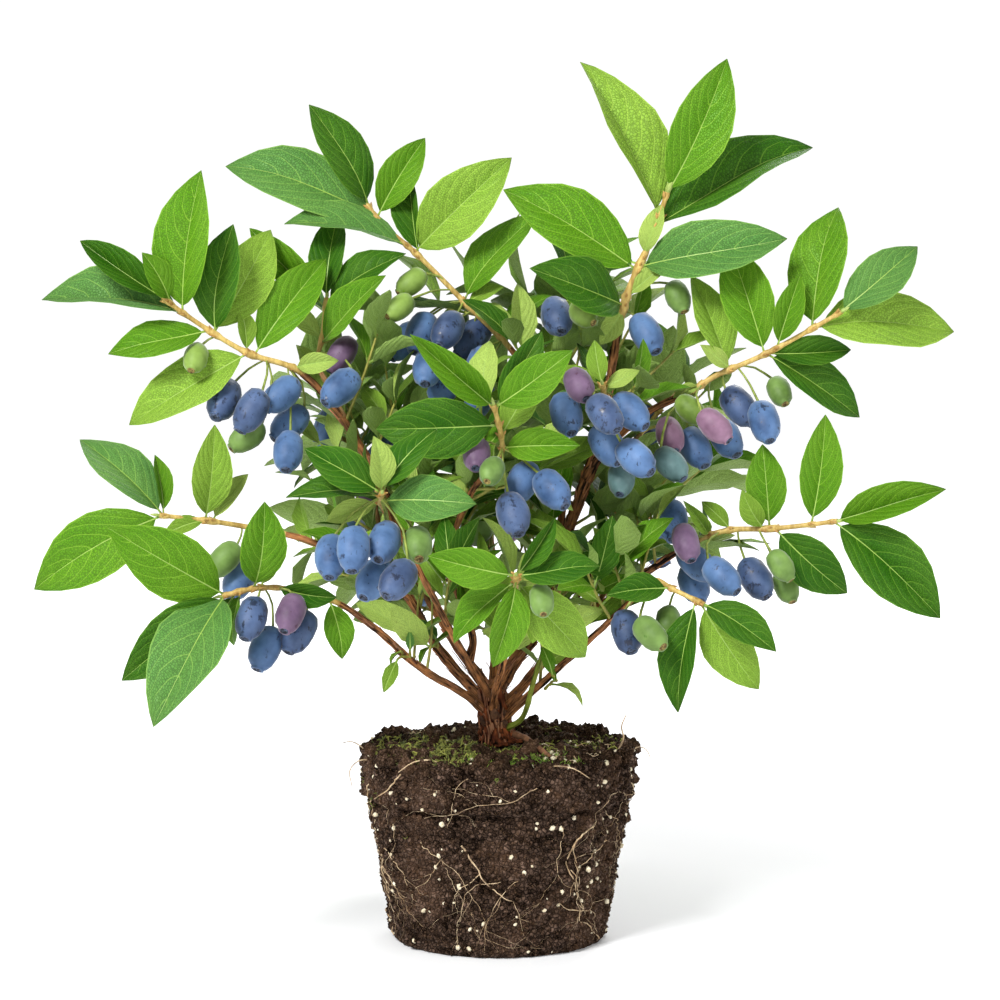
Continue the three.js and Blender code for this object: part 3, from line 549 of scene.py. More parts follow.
curves = {"trunk": Bend([(0, 0, BALL["height"] + CLEARANCE), TRUNK["middle"], TRUNK["top"]])}
shoots = {}
for stem, bough in BOUGHS.items():
    curves[stem], shoots[stem] = bough_curves(bough, curves[bough["from"][0]])
print("wood in mm:", {stem: round(curve.length()) for stem, curve in curves.items()})

# %% [markdown]
# ## The clash rule
# A crown grown from numbers alone runs its leaves through each other. The source tries several leans for
# each leaf, keeps the first that is clear of everything grown so far, and skips the leaf if none is. We
# repeat that rule, so that our leaves take the same places as the solids.
#
# A stem or a berry counts as a chain of balls, and a leaf as a few flat triangles. Testing them one by one
# in Python would be slow, so each test is written for whole arrays: numpy checks hundreds of pairs at once.

# %% Everything grown so far
MARGIN = {"blade": 0.9, "wood": 0.6, "berry": 0.5}


class Grown:
    """Balls and blades, in arrays that the clash tests can read at once."""

    def __init__(self):
        self.names = {}
        self.centres, self.radii, self.owners = np.zeros((9000, 3)), np.zeros(9000), np.zeros(9000, int)
        self.count = 0
        self.blades = []

    def number(self, owner):
        return self.names.setdefault(owner, len(self.names))

    def add_ball(self, owner, centre, radius):
        self.centres[self.count], self.radii[self.count] = centre, radius
        self.owners[self.count] = self.number(owner)
        self.count += 1

    def add_chain(self, owner, curve, radius_at, gap):
        count = math.ceil(curve.length() / gap)
        for i in range(count + 1):
            self.add_ball(owner, curve.at(i / count), radius_at(i / count))

    def balls_near(self, centre, reach, owner, margin):
        """The balls of other owners within reach, each made larger by the margin."""
        n = self.count
        apart = np.linalg.norm(self.centres[:n] - centre, axis=1)
        near = apart < self.radii[:n] + reach + margin
        if owner is not None:
            near &= self.owners[:n] != self.number(owner)
        return self.centres[:n][near], self.radii[:n][near] + margin


grown = Grown()


def radius_line(start, end):
    return lambda t: between(start, end, t)


def trunk_radius(t):
    """A root flare that dies out in the lowest third, then a slow taper."""
    flare = max(0, 1 - t * 3) ** 2 * (TRUNK["flare"] - TRUNK["neck"])
    return between(TRUNK["neck"], TRUNK["head"], t) + flare


SHOOT = {"tip": 1.15, "start": 4, "end": 1.6}
grown.add_chain("trunk", curves["trunk"], trunk_radius, 3)
for stem, bough in BOUGHS.items():
    foot, tip = bough["radius"]
    grown.add_chain(stem, curves[stem], radius_line(foot, tip), 2)
    grown.add_chain("foliage_" + stem, shoots[stem], radius_line(*[(tip + SHOOT["tip"]) / 2] * 2), 2)
print(grown.count, "balls stand for the wood and the shoots")


# %% Distances and crossings of triangles
def corner_dots(a, b):
    return np.einsum("...k,...k->...", a, b)


def distances(triangles, points):
    """How far each point is from the nearest of the triangles."""
    a, b, c = (triangles[None, :, k] for k in range(3))
    p = points[:, None]
    normal = np.cross(b - a, c - a)
    area = np.linalg.norm(normal, axis=-1, keepdims=True)
    normal = normal / np.maximum(area, 1e-9)
    height = corner_dots(p - a, normal)
    inside = np.broadcast_to(area[..., 0] > 1e-9, height.shape)
    best = np.full(height.shape, np.inf)
    for start, end in ((a, b), (b, c), (c, a)):
        side = end - start
        inside = inside & (corner_dots(np.cross(side, p - start), normal) >= 0)
        share = corner_dots(p - start, side) / np.maximum(corner_dots(side, side), 1e-9)
        foot = start + np.clip(share, 0, 1)[..., None] * side
        best = np.minimum(best, np.linalg.norm(p - foot, axis=-1))
    return np.where(inside, np.abs(height), best).min(axis=1)


def pierced(one, other):
    """Whether an edge of the first triangles passes through one of the others."""
    start = one.reshape(-1, 3)[:, None]
    way = np.roll(one, -1, axis=1).reshape(-1, 3)[:, None] - start
    a, side1, side2 = other[None, :, 0], (other[:, 1] - other[:, 0])[None], (other[:, 2] - other[:, 0])[None]
    h = np.cross(way, side2)
    det = corner_dots(side1, h)
    det = np.where(np.abs(det) < 1e-12, np.nan, det)
    from_a = start - a
    with np.errstate(invalid="ignore"):
        u = corner_dots(from_a, h) / det
        q = np.cross(from_a, side1)
        v = corner_dots(way, q) / det
        t = corner_dots(side2, q) / det
        return bool(((u >= 0) & (v >= 0) & (u + v <= 1) & (t >= 0) & (t <= 1)).any())


def skin(leaf, widen, lift, whole=True):
    """A leaf's blade as triangles between its midrib and its two edges."""
    rings = leaf["rings"] if whole else [leaf["neck"]] + leaf["rings"][leaf["stalk_rings"]:]
    mid = [place + leaf["normal"] * lift for place, half in rings]
    triangles = []
    for side in (-1, 1):
        edge = [
            mid[k] + leaf["across"] * (side * (half + widen if half > 0 else 0))
            + leaf["normal"] * (half * LEAF["fold"])
            for k, (place, half) in enumerate(rings)
        ]
        for k in range(len(mid) - 1):
            triangles.append((mid[k], mid[k + 1], edge[k + 1]))
            triangles.append((mid[k], edge[k + 1], edge[k]))
    return np.array(triangles)


def leaf_is_clear(leaf, owner, margin):
    """Whether a leaf keeps its margin from all wood and from every other blade."""
    lifts = (-margin["blade"], 0, margin["blade"])
    layers = [skin(leaf, margin["blade"], lift) for lift in lifts]
    centres, radii = grown.balls_near(leaf["centre"], leaf["reach"], owner, margin["wood"])
    if len(centres) and (distances(layers[1], centres) < radii).any():
        return False
    near = [b for b in grown.blades if size_of(b["centre"] - leaf["centre"]) < b["reach"] + leaf["reach"]]
    for kin in (False, True):
        targets = [b["trimmed" if kin else "whole"] for b in near if (b["owner"] == owner) == kin]
        if not targets:
            continue
        own = np.concatenate([skin(leaf, 0, lift, False) for lift in lifts] if kin else layers)
        target = np.concatenate(targets)
        if pierced(own, target) or pierced(target, own):
            return False
    return True


def balls_are_clear(balls, owner):
    """Whether a berry or a twig, told as balls, keeps its margin from everything."""
    for centre, radius in balls:
        centres, radii = grown.balls_near(centre, radius, owner, MARGIN["berry"])
        if len(centres):
            return False
        for blade in grown.blades:
            if size_of(centre - blade["centre"]) > radius + blade["reach"] + MARGIN["berry"]:
                continue
            if distances(blade["whole"], centre[None])[0] < radius + MARGIN["berry"]:
                return False
    return True


print("the clash tests are ready")

# %% [markdown]
# ## Leaves, berries and twigs by the source's rule
# Haskap leaves stand in opposite pairs, and each pair is turned a quarter from the one before it. A
# measured leaf is told by the clock angle of its tip in the front view and its reach from the shoot. How
# far it leans to or from the viewer doesn't show in a photograph, so that comes from a seeded random number.
#
# The random generator is also written again, because Python's own would draw other numbers than the source
# did, and then no leaf would be where its solid is.

# %% The seeded random numbers
SEED = 7301
WORD = 0xFFFFFFFF


class Seeded:
    """The source's small generator: the same seed gives the same shrub."""

    def __init__(self, seed):
        self.state = seed & WORD

    def __call__(self):
        self.state = (self.state + 0x6D2B79F5) & WORD
        t = self.state
        t = ((t ^ (t >> 15)) * (t | 1)) & WORD
        t ^= (t + (((t ^ (t >> 7)) * (t | 61)) & WORD)) & WORD
        return ((t ^ (t >> 14)) & WORD) / 4294967296

    def spread(self, size):
        """A number from minus the size to plus the size."""
        return (self() * 2 - 1) * size

    def turn(self):
        """An angle from anywhere round, in radians."""
        return self() * 6.3


draw = Seeded(SEED)
print("the first three numbers:", [round(draw(), 4) for _ in range(3)])

# %% The habit of leaves and berries
LEAF = {"slender": 0.44, "arch": 0.07, "fold": 0.16, "small": 30}
PETIOLE = {"half_width": 0.45, "length": 3.4}
LARGE_RINGS = ((0.27, 0.86), (0.64, 0.9))
SMALL_RINGS = ((0.45, 1),)
BERRY = {"ripe": (20, 13.5), "turning": (18, 12), "green": (15, 10.5)}
LEANS = (0, 12, -12, 24, -24, 36, -36)
BERRY_OUT = (4, 10, 16, -4, 22, -10, 28)
HABIT = {"hang": 35, "lean": 22, "roll": 32, "rule_roll": 25, "opening": 62, "tip_opening": 38, "waver": 13}
NODE_NECK = 0.6
TWIG = {"checked_at": (0.35, 0.55, 0.75, 0.95), "radius": 1, "shorter": 0.8, "first": 0.25, "apart": 0.3}


def make_leaf(root, tip, facing, roll, slender, large):
    """A leaf from its root to its tip, its upper face turned toward the given direction."""
    length = size_of(tip - root)
    along = (tip - root) / length
    normal = turned(unit(facing - along * (facing @ along)), along, roll)
    body = [(t, share * slender * length / 2) for t, share in (LARGE_RINGS if large else SMALL_RINGS)]
    ends = (0, PETIOLE["length"] / length) if large else (0,)
    stations = [(t, PETIOLE["half_width"]) for t in ends] + body + [(1, 0)]
    rings = []
    for t, half in stations:
        rings.append((between(root, tip, t) + normal * (LEAF["arch"] * length * 4 * t * (1 - t)), half))
    stalk_rings = len(ends)
    neck = between(rings[stalk_rings - 1][0], rings[stalk_rings][0], NODE_NECK)
    return {
        "root": root, "tip": tip, "normal": normal, "across": cross(along, normal), "length": length,
        "width": slender * length, "rings": rings, "stalk_rings": stalk_rings, "neck": (neck, 1),
        "centre": between(root, tip, 0.5), "reach": length * 0.56 + 2,
    }


def grow_leaf(spray, make, margin=None, leans=LEANS):
    """Tries the leaf at each lean, and keeps the first that is clear."""
    for lean in leans:
        leaf = make(math.radians(lean))
        if not leaf_is_clear(leaf, spray["name"], margin or MARGIN):
            continue
        grown.blades.append({
            "owner": spray["name"], "centre": leaf["centre"], "reach": leaf["reach"],
            "whole": skin(leaf, 0, 0), "trimmed": skin(leaf, 0, 0, False),
        })
        spray["leaves"].append(leaf)
        return True
    return False


def grow_berry(spray, root, centre_at, axis, kind):
    """Tries the berry nearer to the front or farther back, until it is clear."""
    long, wide = BERRY[kind]
    for out in BERRY_OUT:
        centre = centre_at(out)
        balls = [(centre + axis * (k * 0.22 * long), wide * (0.46 if k else 0.5)) for k in (-1, 0, 1)]
        if not balls_are_clear(balls, None):
            continue
        for place, radius in balls:
            grown.add_ball(spray["name"] + "_berry", place, radius)
        spray["berries"].append({"root": root, "centre": centre, "axis": axis, "kind": kind})
        return


def node_at(curve, along):
    """A node's place on its twig, a little short of the twig's ends."""
    length = curve.length()
    return min(max(along, SHOOT["start"] / length), 1 - SHOOT["end"] / length)


def front_offset(clock, reach, out):
    """From a node to a tip: a clock angle and a reach in the front view, and so far to the viewer."""
    angle = math.radians(clock)
    return vec(math.cos(angle) * reach, -out, math.sin(angle) * reach)


def aside(curve, along, turn):
    """A direction square to the shoot, turned about it."""
    ahead = curve.ahead(along)
    return turned(unit(vec(-ahead[1], ahead[0], 0.001)), ahead, turn)


# %% Grow a spray
def grow_measured(spray, bough, draw):
    """The berries and leaves of a shoot that the photograph shows."""
    for along, clock, reach, kind in bough["fruit"]:
        root = spray["curve"].at(node_at(spray["curve"], along))
        hang = math.radians(draw.spread(HABIT["hang"]))
        nod = 0.15 + draw() * 0.7
        axis = unit(vec(math.sin(hang), -nod, -math.cos(hang)))
        grow_berry(spray, root, lambda out: root + front_offset(clock, reach, out), axis, kind)
    for along, clock, reach in bough["leaves"]:
        root = spray["curve"].at(node_at(spray["curve"], along))
        lean = math.radians(draw.spread(HABIT["lean"]))
        roll = math.radians(draw.spread(HABIT["roll"]))
        slender = LEAF["slender"] * (1 + draw.spread(0.1))

        def make(extra):
            tip = root + front_offset(clock, reach, math.tan(lean + extra) * reach)
            return make_leaf(root, tip, vec(0, -0.9, 0.45), roll, slender, reach >= LEAF["small"])

        if not grow_leaf(spray, make):
            waiting.append((spray, make))


def grow_pairs(spray, curve, nodes, length, draw, start):
    """Opposite leaves in pairs, the last pair at the shoot's tip."""
    for node in range(nodes):
        along = node_at(curve, between(start, 1, node / (nodes - 1)))
        ahead = curve.ahead(along)
        opening = HABIT["tip_opening"] if node == nodes - 1 else HABIT["opening"]
        quarter = (node % 2) * math.pi / 2 + math.radians(draw.spread(HABIT["waver"]))
        for half in (0, math.pi):
            size = length * (0.82 + draw() * 0.36)
            angle = math.radians(opening + draw.spread(HABIT["waver"]))
            roll = math.radians(draw.spread(HABIT["rule_roll"]))
            root = curve.at(along)

            def make(extra):
                out = aside(curve, along, quarter + half + extra)
                tip = root + (ahead * math.cos(angle) + out * math.sin(angle)) * size
                return make_leaf(root, tip, ahead * 0.7 + UP * 0.9, roll, LEAF["slender"], False)

            grow_leaf(spray, make)


def grow_twig(spray, along, turn, length, draw):
    """A side twig leaves the shoot and carries two pairs of smaller leaves."""
    curve = spray["curve"]
    way = unit(curve.ahead(along) * 0.6 + aside(curve, along, turn) * 0.8 + UP * 0.25)
    root = curve.at(along)
    twig = Straight([root, root + way * (length * (0.75 + draw() * 0.3))])
    balls = [(twig.at(t), TWIG["radius"]) for t in TWIG["checked_at"]]
    if not balls_are_clear(balls, spray["name"]):
        return
    for place, radius in balls:
        grown.add_ball(spray["name"], place, radius)
    spray["twigs"].append(twig)
    grow_pairs(spray, twig, 2, length * 0.9, draw, 0.6)


def grow_by_rule(spray, rule, draw):
    """The berries, twigs and leaves of a shoot at the back or in the heart."""
    curve = spray["curve"]
    for _ in range(rule["berries"]):
        along = 0.15 + 0.5 * draw()
        root = curve.at(along)
        side = aside(curve, along, draw() * math.pi * 2) * 10 + UP * -12
        axis = unit(vec(draw.spread(0.5), draw.spread(0.5), -1))
        kind = ("ripe", "ripe", "turning", "green")[int(draw() * 4)]
        grow_berry(spray, root, lambda out: root + side + UP * (4 - out), axis, kind)
    for i in range(rule["twigs"]):
        along = TWIG["first"] + TWIG["apart"] * i
        grow_twig(spray, along, i * 2.4 + draw(), rule["leaf"] * TWIG["shorter"], draw)
    grow_pairs(spray, curve, rule["nodes"], rule["leaf"], draw, 0.2)


sprays, waiting = {}, []
for index, (stem, bough) in enumerate(BOUGHS.items()):
    spray = {"name": "foliage_" + stem, "curve": shoots[stem], "leaves": [], "berries": [], "twigs": []}
    sprays[stem] = spray
    draw = Seeded(SEED + index * 101)
    if "rule" in bough:
        grow_by_rule(spray, bough["rule"], draw)
    else:
        grow_measured(spray, bough, draw)
print({stem: (len(spray["leaves"]), len(spray["berries"])) for stem, spray in sprays.items()})

# %% [markdown]
# ## Finer twigs within the same reach
# The solids have room for one spray a stem. A real haskap also has short side twigs all along its stems,
# with leaves a third as long, and they make the heart of the crown look deep and full. They grow by the
# same rule with a smaller margin, only inside the crown's heart, so the gaps of sky round it stay open. The
# measured leaves that found no room at first are tried again here. At the foot of the stems sit a few small
# curled leaves, and their places are listed one by one.

# %% Grow the finer twigs
FINE_MARGIN = {"blade": 0.25, "wood": 0.25, "berry": 0.3}
FINE_LEANS = (0, 10, -10, 20, -20, 32, -32, 45, -45)
HEART = [
    {"centre": vec(0, 22, 212), "radii": vec(108, 74, 66)},
    {"centre": vec(-20, 50, 205), "radii": vec(105, 62, 95)},
    {"centre": vec(55, 45, 215), "radii": vec(85, 60, 85)},
    {"centre": vec(10, 8, 176), "radii": vec(98, 62, 44)},
]
CROWN_MIDDLE = vec(0, 10, 150)
FINE_TWIG = {"length": 28, "leaf": 26, "gap": 8, "first": 30, "first_on_shoot": 5, "end": 4, "radius": 0.7}
# Small curled leaves low on the stems: where the twig starts, where the leaf starts, and its tip
LOW_LEAVES = (
    ((-39, -18, 125), (-43, -24, 125), (-49, -28, 111)), ((-38, -17, 124), (-38, -21, 128), (-38, -22, 137)),
    ((-26, 1, 125), (-27, -5, 130), (-34, -8, 140)), ((-27, 0, 127), (-29, -6, 128), (-34, -9, 120)),
    ((-41, -19, 126), (-42, -23, 128), (-46, -25, 122)), ((25, -14, 114), (23, -18, 117), (18, -20, 131)),
    ((20, -11, 110), (23, -16, 113), (36, -20, 104)), ((22, -12, 112), (24, -15, 114), (24, -16, 119)),
)

for spray, make in waiting:
    if not grow_leaf(spray, make, FINE_MARGIN, FINE_LEANS):
        print("still no room for a leaf of", spray["name"])


def in_heart(place):
    return any((((place - part["centre"]) / part["radii"]) ** 2).sum() < 1 for part in HEART)


def fine_leaf(twig, along, turn, size, opening, roll):
    """One leaf of a fine twig. Its upper face looks up and away from the crown's middle."""
    curve = twig["curve"]
    ahead, root = curve.ahead(along), curve.at(along)
    outward = unit(root - CROWN_MIDDLE)

    def make(extra):
        out = aside(curve, along, turn + extra)
        tip = root + (ahead * math.cos(opening) + out * math.sin(opening)) * size
        return make_leaf(root, tip, ahead * 0.3 + UP * 0.6 + outward * 0.8, roll, LEAF["slender"], False)

    grow_leaf(twig, make, FINE_MARGIN, FINE_LEANS)


def grow_fine_twig(name, parent, along, turn, draw):
    """A short twig with two or three pairs of small leaves."""
    root, ahead = parent.at(along), parent.ahead(along)
    way = unit(ahead * 0.45 + aside(parent, along, turn) * 0.85 + UP * 0.3)
    length = FINE_TWIG["length"] * (0.6 + draw() * 0.8)
    bend = root + way * length * 0.5 + aside(parent, along, turn + 1.5) * draw.spread(2.5)
    curve = Bend([root, bend, root + way * length + UP * (length * 0.12)])
    if not in_heart(curve.at(1)):
        return None
    if not balls_are_clear([(curve.at(t), FINE_TWIG["radius"]) for t in (0.4, 0.7, 1)], name):
        return None
    twig = {"name": name, "curve": curve, "leaves": []}
    pairs = 2 + int(draw() * 2)
    for node in range(pairs):
        place = node_at(curve, between(0.35, 1, node / (pairs - 1)))
        for half in (0, math.pi):
            size = FINE_TWIG["leaf"] * (0.6 + draw() * 0.75)
            opening = math.radians((34 if node == pairs - 1 else 58) + draw.spread(14))
            leaf_turn = node * math.pi / 2 + half + draw.spread(0.3)
            fine_leaf(twig, place, leaf_turn, size, opening, math.radians(draw.spread(30)))
    if not twig["leaves"]:
        return None
    for t in (0.3, 0.65, 1):
        grown.add_ball(name, curve.at(t), FINE_TWIG["radius"])
    return twig


fine_twigs = []
draw = Seeded(SEED + 9)
for stem in BOUGHS:
    for owner, parent, first in (
        (stem, curves[stem], FINE_TWIG["first"]),
        ("foliage_" + stem, shoots[stem], FINE_TWIG["first_on_shoot"]),
    ):
        at = first
        while at < parent.length() - FINE_TWIG["end"]:
            twig = grow_fine_twig(owner, parent, at / parent.length(), draw() * math.pi * 2, draw)
            if twig:
                fine_twigs.append(twig)
            at += FINE_TWIG["gap"] * (0.7 + 0.6 * draw())
for places in LOW_LEAVES:
    foot, root, tip = (vec(*place) for place in places)
    leaf = make_leaf(root, tip, vec(0, -0.6, 0.8), draw.spread(0.5), 0.42, False)
    leaf["bend"] = 0.2
    curve = Bend([foot, between(foot, root, 0.6) + UP * 0.6, root])
    fine_twigs.append({"name": "low", "curve": curve, "leaves": [leaf]})
print(len(fine_twigs), "fine twigs with", sum(len(twig["leaves"]) for twig in fine_twigs), "small leaves")

# %% [markdown]
# ## Shared effects for the materials
# An effect that several materials use is a shader node group. It is built once, with named inputs, and
# each material places it with its own values: fibres for bark, shreds and roots, crumbs for soil, veins for
# both sides of a leaf, and the rubbed bloom for the berries. A group gives only masks and heights, and the
# Principled shader stays in the material itself.
#
# A pattern that follows a stem or a leaf can't use plain object coordinates. The meshes carry their own
# attribute for it, called place. On wood it holds the point as if the stem were straight, so fibres run
# along every stem. On a leaf it holds how far across, how far along, and a number of the leaf's own.


# %% Build a group
def group(name, amounts, outputs):
    """An empty shader group. It reads a place and named amounts, and gives the named outputs."""
    made = bpy.data.node_groups.new(name, "ShaderNodeTree")
    made.interface.new_socket("Place", in_out="INPUT", socket_type="NodeSocketVector")
    for label, value in amounts.items():
        socket = made.interface.new_socket(label, in_out="INPUT", socket_type="NodeSocketFloat")
        socket.default_value = value
    for label in outputs:
        made.interface.new_socket(label, in_out="OUTPUT", socket_type="NodeSocketFloat")
    return made, made.nodes.new("NodeGroupInput").outputs, made.nodes.new("NodeGroupOutput").inputs


def noise_of(tree, vector, scale, detail=3.0, roughness=0.55):
    """Soft noise about a half, so many waves to the metre."""
    given = {"Vector": vector, "Scale": scale, "Detail": detail, "Roughness": roughness}
    return put(tree, "ShaderNodeTexNoise", given).outputs["Fac"]


def cells_of(tree, vector, scale, feature="F1", output="Distance"):
    """A pattern of cells, as in cracked mud."""
    given = {"Vector": vector, "Scale": scale}
    return put(tree, "ShaderNodeTexVoronoi", given, feature=feature).outputs[output]


def edges_of(tree, vector, scale, width):
    """Nought in the cracks between cells, and one where a cell is farther than the width from them."""
    return remap(tree, cells_of(tree, vector, scale, "DISTANCE_TO_EDGE"), 0.0, width)


def stretched(tree, vector, x, y, z):
    """A place with its axes scaled. A pattern on it grows longer where the number is small."""
    return put(tree, "ShaderNodeVectorMath", {0: vector, 1: (x, y, z)}, operation="MULTIPLY").outputs[0]


# %% Fibres, crumbs, veins and bloom
# Fibres: fine and broad noise, stretched along the stem, and a few knots
fibres, given, out = group("fibres", {"Fineness": 1.0}, ["Streak", "Height"])
place, fineness = given["Place"], given["Fineness"]
long_way = stretched(fibres, place, 1, 1, 0.09)
fine = noise_of(fibres, long_way, times(fibres, fineness, 900), 5, 0.65)
broad = noise_of(fibres, long_way, times(fibres, fineness, 260), 3)
knots = noise_of(fibres, place, times(fibres, fineness, 120), 2)
streak = plus(fibres, times(fibres, fine, 0.6), times(fibres, broad, 0.4))
height = plus(fibres, streak, times(fibres, knots, 0.4))
fill(fibres, out, {"Streak": remap(fibres, streak, 0.38, 0.62), "Height": height})

# Crumbs: a shade for each grain, painted shade in the cracks between grains and between clods, and specks of
# grit
crumbs, given, out = group("crumbs", {"Grain": 1.0}, ["Tone", "Speck", "Height"])
place, grain = given["Place"], given["Grain"]
grains = times(crumbs, grain, 560)
cell_shade = put(crumbs, "ShaderNodeSeparateColor", {0: cells_of(crumbs, place, grains, "F1", "Color")})
crevice = edges_of(crumbs, place, grains, 0.2)
clods = edges_of(crumbs, place, times(crumbs, grain, 190), 0.25)
drift = remap(crumbs, noise_of(crumbs, place, 90, 4), 0.35, 0.7)
grit = noise_of(crumbs, place, times(crumbs, grain, 1500), 2)
shade = plus(crumbs, times(crumbs, cell_shade.outputs[0], 0.6), times(crumbs, drift, 0.4))
# Painted shade: the tone is darkened in the cracks between grains and between clods, where the bump sinks too
shade = times(crumbs, shade, remap(crumbs, crevice, 0, 1, 0.25, 1))
shade = times(crumbs, shade, remap(crumbs, clods, 0, 1, 0.45, 1))
height = plus(crumbs, times(crumbs, crevice, 0.5), times(crumbs, clods, 0.5))
height = plus(crumbs, height, times(crumbs, grit, 0.4))
fill(crumbs, out, {"Tone": shade, "Speck": remap(crumbs, grit, 0.64, 0.7), "Height": height})

# Veins: pairs that climb toward the margin, a pale margin, the net between them, and a drift of tone
veins, given, out = group("veins", {"Pairs": 6.0, "Slope": 0.5}, ["Vein", "Net", "Tone", "Height"])
place = given["Place"]
parts = put(veins, "ShaderNodeSeparateXYZ", {0: place})
across, along = sums(veins, "ABSOLUTE", parts.outputs[0]), parts.outputs[1]
swing = noise_of(veins, stretched(veins, place, 1.5, 3, 7), 1, 1)
climb = times(veins, sums(veins, "POWER", across, 1.5), given["Slope"])
row = minus(veins, plus(veins, along, times(veins, swing, 0.05)), climb)
beat = sums(veins, "FRACT", times(veins, row, given["Pairs"]))
ridge = sums(veins, "ABSOLUTE", minus(veins, beat, 0.5))
vein = sums(veins, "MAXIMUM", remap(veins, ridge, 0.45, 0.49), remap(veins, across, 0.94, 0.985))
quilt = remap(veins, ridge, 0.0, 0.5, 1.0, 0.0)
mesh_cells = cells_of(veins, stretched(veins, place, 14, 58, 3), 1, "DISTANCE_TO_EDGE")
net = remap(veins, mesh_cells, 0.0, 0.2, 1.0, 0.0)
tone = remap(veins, noise_of(veins, stretched(veins, place, 0.9, 1.6, 9), 1, 2), 0.3, 0.7)
height = minus(veins, times(veins, quilt, 0.9), times(veins, net, 0.4))
fill(veins, out, {"Vein": vein, "Net": net, "Tone": tone, "Height": height})

# Bloom: where it is rubbed off, in patches and scratches, and where it lies thicker
bloom, given, out = group("bloom", {"Rubbed": 0.5}, ["Rub", "Cloud", "Height"])
place = given["Place"]
patch = noise_of(bloom, place, 230, 4, 0.6)
scratch = noise_of(bloom, stretched(bloom, place, 1, 1, 0.35), 700, 3, 0.7)
wear = plus(bloom, times(bloom, patch, 0.65), times(bloom, scratch, 0.35))
edge = minus(bloom, 0.72, times(bloom, given["Rubbed"], 0.2))
fill(bloom, out, {
    "Rub": remap(bloom, minus(bloom, wear, edge), 0.0, 0.05),
    "Cloud": remap(bloom, noise_of(bloom, place, 90, 3), 0.3, 0.7),
    "Height": noise_of(bloom, place, 520, 3),
})
print("shader groups:", [made.name for made in (fibres, crumbs, veins, bloom)])


# %% Use a group, roughen a surface
def use(tree, made, **inputs):
    """Puts a group into a tree, with numbers or links at its inputs, and gives its outputs."""
    node = put(tree, "ShaderNodeGroup", node_tree=made)
    fill(tree, node.inputs, inputs)
    return node.outputs


def bump(tree, shader, height, strength, depth):
    """Roughens the surface by a height, depth in millimetres."""
    made = put(tree, "ShaderNodeBump", {"Height": height, "Strength": strength, "Distance": depth * MM})
    fill(tree, shader.inputs, {"Normal": made.outputs["Normal"]})


# %% [markdown]
# ## The leaf materials
# A haskap leaf is a soft, almost matt green above, with sunken side veins and a fine net between them, and
# paler below. Old leaves are deep green, tip leaves are yellow green, and some look bluish. Each tint is its
# own material with a plain base colour and is dealt out leaf by leaf. One material that changed its tint
# by a pattern would be shorter, but the pattern could land elsewhere once the model is exported.

# %% Leaf colours
LEAF_TINTS = {
    "leaf_deep": (43, 96, 6), "leaf_mid": (81, 134, 16), "leaf_light": (124, 164, 52),
    "leaf_young": (166, 194, 92), "leaf_bluish": (80, 130, 58),
}
UNDER_TINT = (148, 180, 88)
RIB_TINT = (148, 180, 76)
VEIN_TINT = (208, 230, 108)


def leaf_material(name, tint, vein_tint, relief):
    """A pale drift of tone, then the net darkened as painted shade where it is sunken, then the pale veins
    and margin.
    """
    made, tree, shader = new_material(name, 0.55, Specular_IOR_Level=0.13)
    parts = use(tree, veins, Place=place_of(tree, own=True))
    light = blend_of(tree, times(tree, parts["Tone"], 0.32), rgb(tint), rgb(vein_tint))
    # Painted shade: the sunken net between the veins is darkened toward a deeper copy of the tint
    dark = blend_of(tree, times(tree, parts["Net"], 0.62), light, rgb(tint, 0.55))
    color = blend_of(tree, times(tree, parts["Vein"], 0.66), dark, rgb(vein_tint))
    rough = remap(tree, parts["Net"], 0, 1, 0.42, 0.6)
    fill(tree, shader.inputs, {"Base Color": color, "Roughness": rough})
    bump(tree, shader, parts["Height"], 0.7, relief)
    return made


leaf_materials = [
    leaf_material(name, tint, [between(*pair, 0.36) for pair in zip(tint, VEIN_TINT)], 0.42)
    for name, tint in LEAF_TINTS.items()
]
leaf_under = leaf_material("leaf_under", UNDER_TINT, (172, 202, 116), 0.45)


def fibre_material(name, deep, light, fineness, rough, strength, relief, glint=0.5, stain=None):
    """Fine streaks, for midribs, shoots, stalks, buds and roots. Roots also have stains of soil."""
    made, tree, shader = new_material(name, rough, Specular_IOR_Level=glint)
    place = place_of(tree)
    parts = use(tree, fibres, Place=place, Fineness=fineness)
    color = blend_of(tree, parts["Streak"], rgb(deep), rgb(light))
    if stain:
        soiled = remap(tree, noise_of(tree, place, 260, 3), 0.5, 0.62, 0.0, 0.6)
        color = blend_of(tree, soiled, color, rgb(stain))
    fill(tree, shader.inputs, {"Base Color": color})
    bump(tree, shader, parts["Height"], strength, relief)
    return made


rib_shade = [level * 0.86 for level in RIB_TINT]
leaf_rib = fibre_material("leaf_rib", RIB_TINT, rib_shade, 0.8, 0.45, 0.3, 0.2)
LEAF_SLOTS = leaf_materials + [leaf_under, leaf_rib]
UNDER, RIB = len(leaf_materials), len(leaf_materials) + 1
print("leaf materials:", [made.name for made in LEAF_SLOTS])


# %% [markdown]
# ## Making the leaves
# A leaf could be a flat card, but a card shows no fold, no thickness and no underside. Ours is a thin closed
# shell of about seventy faces: rows along the midrib, a narrow strip for the rib itself, and two strips each
# side of it. It is folded along the rib, arched from root to tip, and wavy at its margin. The small leaves
# of the fine twigs need only about thirty. All leaves are written into arrays and joined as one mesh,
# which is the lightest way to have hundreds of them, each with its own curve.
#
# Smooth shading would blur the margin and the rib, so the edges along both are marked to stay sharp. Some
# leaves would stand a little proud of the CAD model's box, and those are made smaller until they fit.

